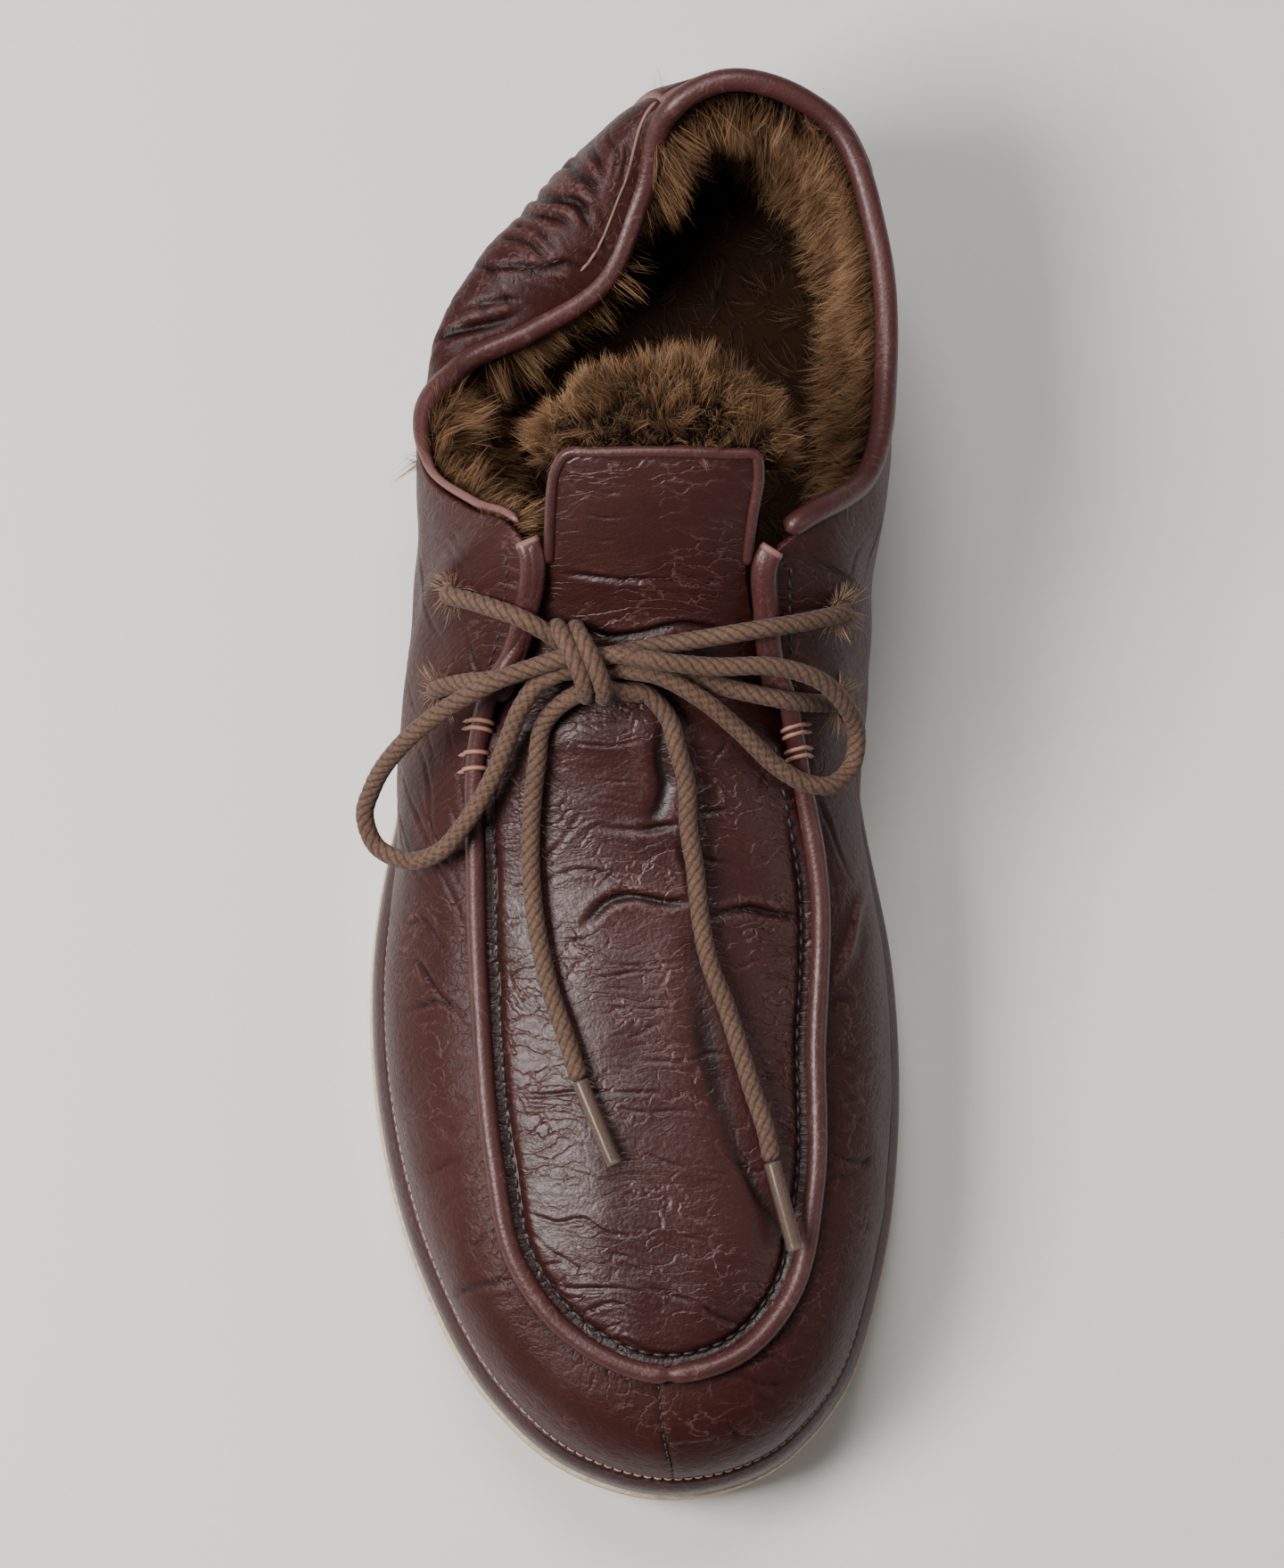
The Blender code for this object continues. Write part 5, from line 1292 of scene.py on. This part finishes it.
# %% Facing strips
def flat_strip(name, path, half_width, half_height):
    """A rounded rectangle carried along a path. Its first end is cut square and shows the raw hide."""
    fine, run = along_route(path, 0.0008)
    side, high = carried_frame(fine)
    turn = np.linspace(0, 2 * np.pi, 29)
    cosine, sine = np.cos(turn), np.sin(turn)
    across = half_width * np.sign(cosine) * np.abs(cosine) ** 0.55
    upwards = half_height * np.sign(sine) * np.abs(sine) ** 0.75
    tail = np.clip((run[-1] - run) / 0.004, 0, 1)
    size = np.sqrt(np.clip(1 - (1 - tail) ** 2, 0.02, 1)) * np.clip(0.9 + run / 0.004, 0, 1)
    ring = side[:, None] * across[None, :, None] + high[:, None] * upwards[None, :, None]
    skin = fine[:, None] + ring * size[:, None, None]
    skin = np.concatenate([np.broadcast_to(fine[:1, None], skin[:1].shape), skin])
    raw = np.clip(1 - (np.concatenate([[0], run]) - 0.0006) / 0.0006, 0, 1)
    reach = np.concatenate([[0], run])
    uv = np.stack(np.broadcast_arrays(turn[None] * half_width, reach[:, None]), -1)
    values = np.broadcast_to(raw, (28, len(raw)))
    return surface(name, skin.transpose(1, 0, 2)[:-1], wrap=True, flip=True, uv=uv.transpose(1, 0, 2),
                   raw=values, fold=0 * values)


for side_name, first, last in (("outer", OUTER_FACING_TOP, 12.1), ("inner", INNER_FACING_TOP, 25.9)):
    lowest, highest = min(first, last), max(first, last)
    strip_path = bead_path(lowest, highest, 16, PIPING_RADIUS, lambda k: 0 * k, 0.0010)
    strip_path = strip_path if first < last else strip_path[::-1]
    strip = flat_strip("facing_strip_" + side_name, strip_path + (0, 0, 0.0002), 0.0026, 0.0019)
    dress(strip, trim_leather, "trim")

# %% [markdown]
# Thread follows the seams as single stitches, each a short rounded bar that dips in at both ends.

# %% Threads
CAPSULE_RINGS = np.arange(24).reshape(4, 6)
CAPSULE_NEXT = np.roll(CAPSULE_RINGS, -1, axis=1)
CAPSULE_FACES = np.concatenate([
    np.stack([CAPSULE_RINGS, CAPSULE_RINGS + 6, CAPSULE_NEXT + 6, CAPSULE_NEXT], -1).reshape(-1, 4),
    np.array([(0, 1, 2, 3), (0, 3, 4, 5), (27, 26, 25, 24), (29, 28, 27, 24)]),
])


def stitches(name, path, out, pitch, long, radius):
    """Capsules of a length at each pitch along a path, their middles proud and their ends sunk."""
    run = np.concatenate([[0], np.cumsum(np.linalg.norm(np.diff(path, axis=0), axis=1))])
    at = np.arange(pitch / 2, run[-1], pitch)

    def take(rows, where):
        return np.stack([np.interp(where, run, rows[:, k]) for k in range(3)], -1)

    ahead = unit(take(path, at + pitch / 4) - take(path, at - pitch / 4))
    high = unit(take(out, at))
    side = np.cross(ahead, high)
    along = np.array([-0.50, -0.42, 0.0, 0.42, 0.50])[:, None, None] * long
    width = np.array([0.30, 0.85, 1.0, 0.85, 0.30])[:, None, None] * radius
    sunk = np.array([-1.0, -0.3, 0.3, -0.3, -1.0])[:, None, None] * radius
    turn = np.arange(6) * np.pi / 3
    ring = side[:, None] * np.cos(turn)[None, :, None] + high[:, None] * np.sin(turn)[None, :, None]
    middle = take(path, at)[:, None, None]
    shapes = middle + ahead[:, None, None] * along + high[:, None, None] * sunk + ring[:, None] * width
    return copies(name, shapes.reshape(len(at), 30, 3), CAPSULE_FACES)


def thread(name, colour):
    """Waxed thread with a fine twist."""
    made, tree, shader = fresh_material(name, colour, 0.55)
    place = add(tree, "ShaderNodeTexCoord").outputs["Object"]
    twist = add(tree, "ShaderNodeTexNoise", {"Vector": place, "Scale": 1800.0})
    bump = add(tree, "ShaderNodeBump", {"Height": twist.outputs["Fac"], "Strength": 0.4, "Distance": 0.0002})
    tree.links.new(bump.outputs[0], shader.inputs["Normal"])
    return made


def beside_seam(inset):
    """A path on the panel at an inset from the seam, with the panel's way out at each point."""
    knots = stations(OUTER_THROAT - 0.2, INNER_THROAT + 0.2, 320)
    edge = rib(knots, 1.0)
    ahead = unit(np.gradient(edge[:, :2], axis=0))
    inwards = np.stack([-ahead[:, 1], ahead[:, 0]], -1)
    wanted = edge[:, :2] + inwards * inset
    flat, flat_out = panel_top.reshape(-1, 3), panel_out.reshape(-1, 3)
    nearest = np.array([np.hypot(*(flat[:, :2] - place).T).argmin() for place in wanted])
    return np.concatenate([wanted, flat[nearest, 2:]], -1), flat_out[nearest]


black_thread = thread("black_thread", (0.012, 0.007, 0.006))
pale_thread = thread("pale_thread", (0.36, 0.22, 0.18))
raw_hide = thread("raw_hide", (0.17, 0.085, 0.075))
tack_thread = thread("tack_thread", (0.30, 0.150, 0.105))
path, way = beside_seam(0.0032)
dress(stitches("seam_stitches", path, way, 0.0031, 0.0027, 0.00048), black_thread, "trim")
knots = stations(0, len(RIBS), 900)
path, way, _ = wall(knots, 0.030, -0.00012)
dress(stitches("foot_stitches", path, way, 0.0021, 0.0017, 0.00021), pale_thread, "trim")
path, way, _ = wall(knot_of(TOE_RIB), np.linspace(0.06, 0.93, 60), 0.0003)
dress(stitches("toe_stitches", path, way, 0.0021, 0.0014, 0.00030), black_thread, "trim")
FLAP_SEAM = ((1.9, 0.925), (2.5, 0.885), (3.0, 0.84), (3.4, 0.80), (3.9, 0.74), (4.4, 0.62), (4.9, 0.50))
flap_knots = smooth(np.arange(len(FLAP_SEAM)), np.array(FLAP_SEAM), np.linspace(0, len(FLAP_SEAM) - 1, 120))
path, way, _ = wall(knot_of(flap_knots[:, 0]), flap_knots[:, 1], -0.0001)
dress(stitches("flap_stitches", path, way, 0.0024, 0.0019, 0.00024), black_thread, "trim")
for side_name, first, last in (("outer", 10.15, 12.4), ("inner", 25.6, 27.85)):
    path, way, _ = wall(stations(first, last, 60), 0.93, 0.0001)
    dress(stitches("facing_stitches_" + side_name, path, way, 0.0028, 0.0022, 0.00034), black_thread, "trim")

# %% [markdown]
# Bar tacks cross the bead at the foot of each facing. A thin raw edge of hide runs below the collar's
# binding, on the outer side by the heel.

# %% Bar tacks and the raw edge
arc = np.radians(np.linspace(185, -15, 9))[:, None]
for side_name, numbers in (("outer", (12.45, 12.60, 13.05, 13.20)), ("inner", (25.02, 25.15, 25.42, 25.55))):
    for count, number in enumerate(numbers):
        leather_end = wall(knot_of(number), np.array([0.86, 0.92]), -0.0003)[0]
        top = rib(knot_of(number), 1.0)
        centre = seam_path[np.linalg.norm(seam_path - top, axis=1).argmin()]
        inwards = unit((centre - leather_end[0]) * (1, 1, 0))
        over = centre + (np.cos(arc) * inwards + np.sin(arc) * (0, 0, 1)) * (PIPING_RADIUS + 0.0003)
        tack = bead("tack_%s_%d" % (side_name, count), [*leather_end, *over], 0.00048, 0.00006, 8)
        dress(tack, tack_thread, "trim")
raw_path, _, _ = wall(stations(1.0, 3.1, 60), 0.925, -0.0001)
dress(bead("raw_edge", raw_path, 0.00032, 0.00012, 8), raw_hide, "trim")


# %% [markdown]
# ## The strap on the heel
#
# A strip of the same leather covers the seam at the back. Its cut edges show the raw pink hide.

# %% Heel strap
def heel_strap():
    """Ribs again, raised by the strap's thickness, with a rounded edge all round."""
    knots = stations(32.5, 1.0, 60)
    share = np.linspace(0.05, 0.985, 90)
    rim_u = np.clip(np.minimum(np.arange(60), np.arange(60)[::-1]) / 3, 0, 1)
    rim_v = np.clip(np.minimum(np.arange(90), np.arange(90)[::-1]) / 3, 0, 1)
    round_edge = np.sqrt(np.clip(1 - (1 - np.minimum(rim_u[:, None], rim_v[None])) ** 2, 0, 1))
    points, out, _ = wall(knots[:, None], share[None])
    soft = 0.00035 * cells_noise(points, 0.012, 4)
    height = -0.0004 + 0.0019 * round_edge + soft * round_edge
    run = np.broadcast_to((knots - knots[0])[:, None], points.shape[:2])
    climb = np.broadcast_to(share * 0.06, run.shape)
    raw = np.clip(2.4 - 2.4 * round_edge, 0, 1)
    return surface("heel_strap", points + out * height[..., None], uv=np.stack([climb, run], -1),
                   fold=0 * raw, raw=raw)


dress(heel_strap(), quarter_leather, "leather", "back_strap")

# %% [markdown]
# ## The lace through the eyelets
#
# Four lengths of lace come up out of the eyelets, cross the facings and meet under the knot. They
# take the solids' own route: off the leather by the lace's radius, over the bead, and down to the
# half knot.

# %% Bars of the lace
LACE_BARS = {"outer_upper": 11.05, "outer_lower": 11.85, "inner_upper": 26.80, "inner_lower": 25.85}
BAR_RISE = PIPING_RADIUS + LACE_RADIUS + 0.0010


def bar_route(name):
    """From inside the eyelet out, over the bead and to the half knot."""
    number, share = EYELETS[name]
    hole, out, _ = wall(knot_of(number), share)
    edge = wall(knot_of(LACE_BARS[name]), 1.0)[0]
    halfway, half_out, _ = wall(knot_of((number + LACE_BARS[name]) / 2), (1 + share) / 2)
    nearest = seam_path[np.linalg.norm(seam_path - edge, axis=1).argmin()]
    over = nearest + np.array([0, 0, BAR_RISE])
    start = hole - out * 0.0035
    rise = np.array([0, 0, LACE_RADIUS / 2])
    near = over * 0.45 + HALF_KNOT * 0.55 + rise
    resting = halfway + half_out * (LACE_RADIUS + 0.0006)
    return [start, hole + out * 0.0012, resting, over, near, HALF_KNOT + rise]


for name in LACE_BARS:
    bar, _ = lace("bar_" + name, bar_route(name))
    dress(bar, braided, "lace", "lace_bars")


# %% [markdown]
# ## Fur
#
# Each hair is a thin ribbon that leaves the skin, bends over and ends in a point. Hairs near each
# other lean to the same tip, so the pile breaks into locks. A number on each hair carries its tone
# from root to tip. The near-black roots are painted shade deep in the pile, and the paler tips of the
# longer hairs are their own colour.

# %% Hair helpers
HAIR_STEPS = np.array([0.0, 0.36, 0.70, 1.0])
HAIR_FACES = np.array([(0, 1, 3), (0, 3, 2), (2, 3, 5), (2, 5, 4), (4, 5, 6)])


def fur_material(name, root, body, tip):
    """Soft hair: tone runs from a root darkened as painted shade to a paler tip, with a broad warm sheen."""
    made, tree, shader = fresh_material(name, body, 0.65, Sheen_Weight=0.06, Sheen_Roughness=0.35,
                                        Specular_IOR_Level=0.22)
    tone = add(tree, "ShaderNodeAttribute", attribute_name="tone").outputs["Fac"]
    palest = tuple(min(1, c * 1.5) for c in tip)
    colour = ramp(tree, tone, [(0.0, root), (0.45, body), (0.85, tip), (1.0, palest)])
    tree.links.new(colour, shader.inputs["Base Color"])
    return made


def hairs(name, roots, leans, length, clump, width=0.00020, seed=1, curl=0.0016):
    """Tapered ribbons: root + s L lean, pulled to the clump's tip by 0.82 s^1.1, curled by noise s^2."""
    rng = np.random.default_rng(seed)
    count = len(roots)
    long = length * rng.uniform(0.55, 1.25, count) * (0.85 + 0.30 * cells_noise(roots, 0.011, seed))
    seeds = rng.choice(count, max(1, int(count / clump)), replace=False)
    tree = mathutils.kdtree.KDTree(len(seeds))
    for k, s in enumerate(seeds):
        tree.insert(roots[s], k)
    tree.balance()
    owner = seeds[np.array([tree.find(root)[1] for root in roots])]
    wild = unit(leans + 0.45 * rng.normal(size=(count, 3)))
    tips = roots[owner] + wild[owner] * long[owner][:, None] * 1.1
    loose = rng.uniform(0.0, 1.0, count)[:, None] ** 2
    tousle = np.stack([cells_noise(roots, 0.013, seed + k) for k in (4, 5, 6)], -1)
    leans = unit(leans + 0.55 * tousle + 0.26 * rng.normal(size=(count, 3)))
    s = HAIR_STEPS[None, :, None]
    straight = roots[:, None] + leans[:, None] * long[:, None, None] * s
    pulled = roots[:, None] * (1 - s) + tips[:, None] * s
    pull = (1 - loose[:, None]) * 0.82 * s**1.1
    spine = straight * (1 - pull) + pulled * pull
    swirl = np.stack([cells_noise(roots, 0.007, seed + k) for k in (11, 12, 13)], -1)
    spine = spine + swirl[:, None] * curl * s**2 + np.array([0, 0, -0.10]) * long[:, None, None] * s**2
    across = unit(np.cross(leans, rng.normal(size=(count, 3))))[:, None]
    taper = width * (1.0 - 0.88 * s**1.6) * rng.uniform(0.6, 1.25, count)[:, None, None]
    edges = np.stack([spine - across * taper / 2, spine + across * taper / 2], 2)
    ribbon = edges.reshape(count, -1, 3)[:, :7]
    guard = rng.uniform(0, 1, count)
    tone = np.clip(HAIR_STEPS[None] * (0.55 + 0.45 * guard[:, None]) + 0.10 * swirl[:, :1], 0, 1)
    tone = np.repeat(tone, 2, axis=1)[:, :7]
    return copies(name, ribbon, HAIR_FACES, tone=tone)


# the first colour of each fur is its root's, nearly black as painted shade deep in the pile
brown_fur = fur_material("brown_fur", (0.014, 0.007, 0.004), (0.125, 0.062, 0.027), (0.300, 0.172, 0.090))
pale_fur = fur_material("pale_fur", (0.110, 0.060, 0.035), (0.200, 0.120, 0.075), (0.300, 0.190, 0.130))
# painted shade: a darker copy of the brown fur for the bed underfoot, which lies in shade inside the shoe
shaded_bed_fur = fur_material("shaded_bed_fur", (0.006, 0.003, 0.002), (0.032, 0.015, 0.007), (0.085, 0.045, 0.022))
# painted shade: the skin under the pile is nearly black, standing in for the shade deep in the pile
shaded_pile_skin, _, _ = fresh_material("fur_skin", (0.014, 0.007, 0.0035), 0.95, Specular_IOR_Level=0.05)


def on_grid(points, out, count, rng):
    """Random roots on a grid of points, with the way out of the surface at each."""
    columns, rows = points.shape[:2]
    a, b = rng.uniform(0, columns - 1.001, count), rng.uniform(0, rows - 1.001, count)
    i, j = a.astype(int), b.astype(int)
    fa, fb = (a - i)[:, None], (b - j)[:, None]

    def blend(grid):
        low = grid[i, j] * (1 - fa) + grid[i + 1, j] * fa
        return low * (1 - fb) + (grid[i, j + 1] * (1 - fa) + grid[i + 1, j + 1] * fa) * fb

    return blend(points), unit(blend(out))


# %% [markdown]
# The lining is a skin just inside the leather, from one facing round the heel to the other. Its pile
# points inwards and down.

# %% Lining
lining_knots = stations(INNER_CORNER, OUTER_CORNER, 130)
lining_share = np.linspace(0.08, 0.965, 24)
skin, lining_out, lining_up = wall(lining_knots[:, None], lining_share[None], LEATHER + 0.0010)
dress(surface("lining_skin", skin, flip=True, uv=skin[..., :2]), shaded_pile_skin, "shearling", "fur_lining")
rng = np.random.default_rng(7)
inwards = -lining_out
for part, (seed, amount) in enumerate(((21, 20000), (22, 16500), (23, 20500))):
    low, high = part * 43, part * 43 + 43
    block = slice(low, high + 1)
    fall = -0.55 * lining_up[block] + 0.35 * np.array([0, -1.0, 0])
    lean = unit(inwards[block] * 0.85 + fall)
    roots, way = on_grid(skin[block], lean, amount, rng)
    pile = hairs("lining_pile_%d" % (part + 1), roots, way, 0.0105, 26, seed=seed)
    dress(pile, brown_fur, "shearling", "fur_lining")


# %% [markdown]
# The roll behind the tongue and the bed underfoot carry pile as well. No hair grows in front of the
# tongue's back face, because it would come out through the leather.

# %% Pile behind the tongue and on the bed
TONGUE_BACK = 0.0550


def tongue_roll():
    """The roll behind the tongue: a closed loop in side view, drawn in towards its two ends."""
    loop = np.array(((0.103, 0.823), (0.131, 0.935), (0.158, 1.040), (0.180, 1.115),
                     (0.203, 1.170), (0.228, 1.160), (0.247, 1.095), (0.248, 0.980),
                     (0.224, 0.885), (0.186, 0.823), (0.145, 0.782), (0.114, 0.769)))
    loop = loop * (LENGTH, INSTEP_HEIGHT) + (0, platform_top(0.0) + CLEARANCE)
    closed_loop = np.concatenate([loop, loop[:1]])
    loop = smooth(np.arange(13), closed_loop, np.linspace(0, 12, 73))
    middle = loop.mean(0)
    turn = np.linspace(0.02, np.pi - 0.02, 40)
    x = (0.008 - 0.185 * np.cos(turn)) * BALL_WIDTH
    width = (np.sin(turn) ** 0.5)[:, None, None]
    places = middle + width * (loop - middle) * 0.96
    return np.stack([np.broadcast_to(x[:, None], places.shape[:2]), places[..., 0], places[..., 1]], -1)


roll = tongue_roll()
roll_out = unit(np.cross(np.gradient(roll, axis=0), np.gradient(roll, axis=1)))
if (roll_out * (roll - roll.mean((0, 1)))).sum() < 0:
    roll_out = -roll_out
dress(surface("tongue_roll_skin", roll, uv=roll[..., :2]), shaded_pile_skin, "shearling", "tongue_fur")
rng = np.random.default_rng(8)
roots, way = on_grid(roll, roll_out, 30000, rng)
behind = roots[:, 1] > TONGUE_BACK
kept = behind & (way[:, 2] > -0.5) & ((way[:, 1] > -0.25) | (way[:, 2] > 0.30))
roots, way = roots[kept], unit(way[kept] + (0, 0.30, 0.65))
tongue_pile = hairs("tongue_pile", roots, way, 0.0100, 24, seed=31, curl=0.0030)
dress(tongue_pile, brown_fur, "shearling", "tongue_fur")


def bed_points():
    """The pile underfoot: strips from side to side of the outline, inside the upper's walls."""
    share = np.linspace(0.0, 0.5, 90)
    left, _ = outline_at(share, FEATHER_INSET + LEATHER + 0.0016)
    right, _ = outline_at(-share, FEATHER_INSET + LEATHER + 0.0016)
    u = np.linspace(0, 1, 20)[None, :, None]
    xy = left[:, None] * (1 - u) + right[:, None] * u
    height = platform_top(xy[..., 1]) + CLEARANCE + 0.0048
    return np.concatenate([xy, height[..., None]], -1)


bed = bed_points()
upright = np.broadcast_to(np.array([0.0, 0.0, 1.0]), bed.shape)
dress(surface("bed_skin", bed, uv=bed[..., :2]), shaded_pile_skin, "shearling", "insole")
rng = np.random.default_rng(9)
roots, way = on_grid(bed, upright + (0.2, -0.5, 0), 9000, rng)
kept = roots[:, 1] > 0.01
# the bed's pile takes the darker copy of the fur, as painted shade
dress(hairs("bed_pile", roots[kept], unit(way[kept]), 0.0080, 40, seed=41), shaded_bed_fur, "shearling", "insole")

# %% [markdown]
# Longer locks stand out at the collar's outer corner and along its slouch, and a few pale wisps come
# out of each eyelet.

# %% Tufts at the corner and the eyelets
rng = np.random.default_rng(10)
tuft_knots = stations(5.6, OUTER_CORNER - 0.1, 60)
tuft_grid, tuft_out, tuft_up = wall(tuft_knots[:, None], np.linspace(0.70, 0.975, 8)[None], LEATHER + 0.0012)
roots, way = on_grid(tuft_grid, -0.50 * tuft_out + 0.70 * tuft_up + (0.10, 0.0, 0.5), 7000, rng)
dress(hairs("corner_tuft", roots, way, 0.0140, 40, seed=51, curl=0.0045), brown_fur, "shearling")
for name, (number, share) in EYELETS.items():
    hole, out, upwards = wall(knot_of(number), share)
    side = np.cross(out, upwards)
    spin = rng.uniform(0, 2 * np.pi, 170)[:, None]
    away = np.cos(spin) * side + np.sin(spin) * upwards
    roots = hole + away * 0.0009
    wisps = hairs("wisps_" + name, roots, unit(away + out * 0.50), 0.0085, 6, 0.00022, 61, 0.0020)
    dress(wisps, pale_fur, "shearling")
slouch_knots = stations(1.1, 4.6, 60)
slouch_share = np.linspace(0.80, 0.965, 8)[None]
slouch_grid, slouch_out, slouch_up = wall(slouch_knots[:, None], slouch_share, LEATHER + 0.0012)
roots, way = on_grid(slouch_grid, 0.75 * slouch_up - 0.55 * slouch_out + (0.35, -0.20, -0.15), 9000, rng)
dress(hairs("slouch_tuft", roots, way, 0.0170, 60, seed=71, curl=0.0045), brown_fur, "shearling")

# %% [markdown]
# ## Finishing
#
# The pale floor is laid, and the triangles of each piece are counted and the largest counts printed.

# %% Floor, sizes and the end
floor_mesh = bpy.data.meshes.new("floor")
floor_mesh.from_pydata([(-4, -4, 0), (4, -4, 0), (4, 4, 0), (-4, 4, 0)], [], [(0, 1, 2, 3)])
floor = bpy.data.objects.new("floor", floor_mesh)
bpy.context.scene.collection.objects.link(floor)
pale, _, _ = fresh_material("pale_floor", (0.72, 0.70, 0.68), 0.85)
floor_mesh.materials.append(pale)
triangles = {piece.name: sum(len(face.vertices) - 2 for face in piece.data.polygons)
             for piece in bpy.data.objects if piece.type == "MESH"}
most = sorted(triangles, key=triangles.get, reverse=True)[:24]
print("triangles:", sum(triangles.values()), "most in:", [(name, triangles[name]) for name in most])
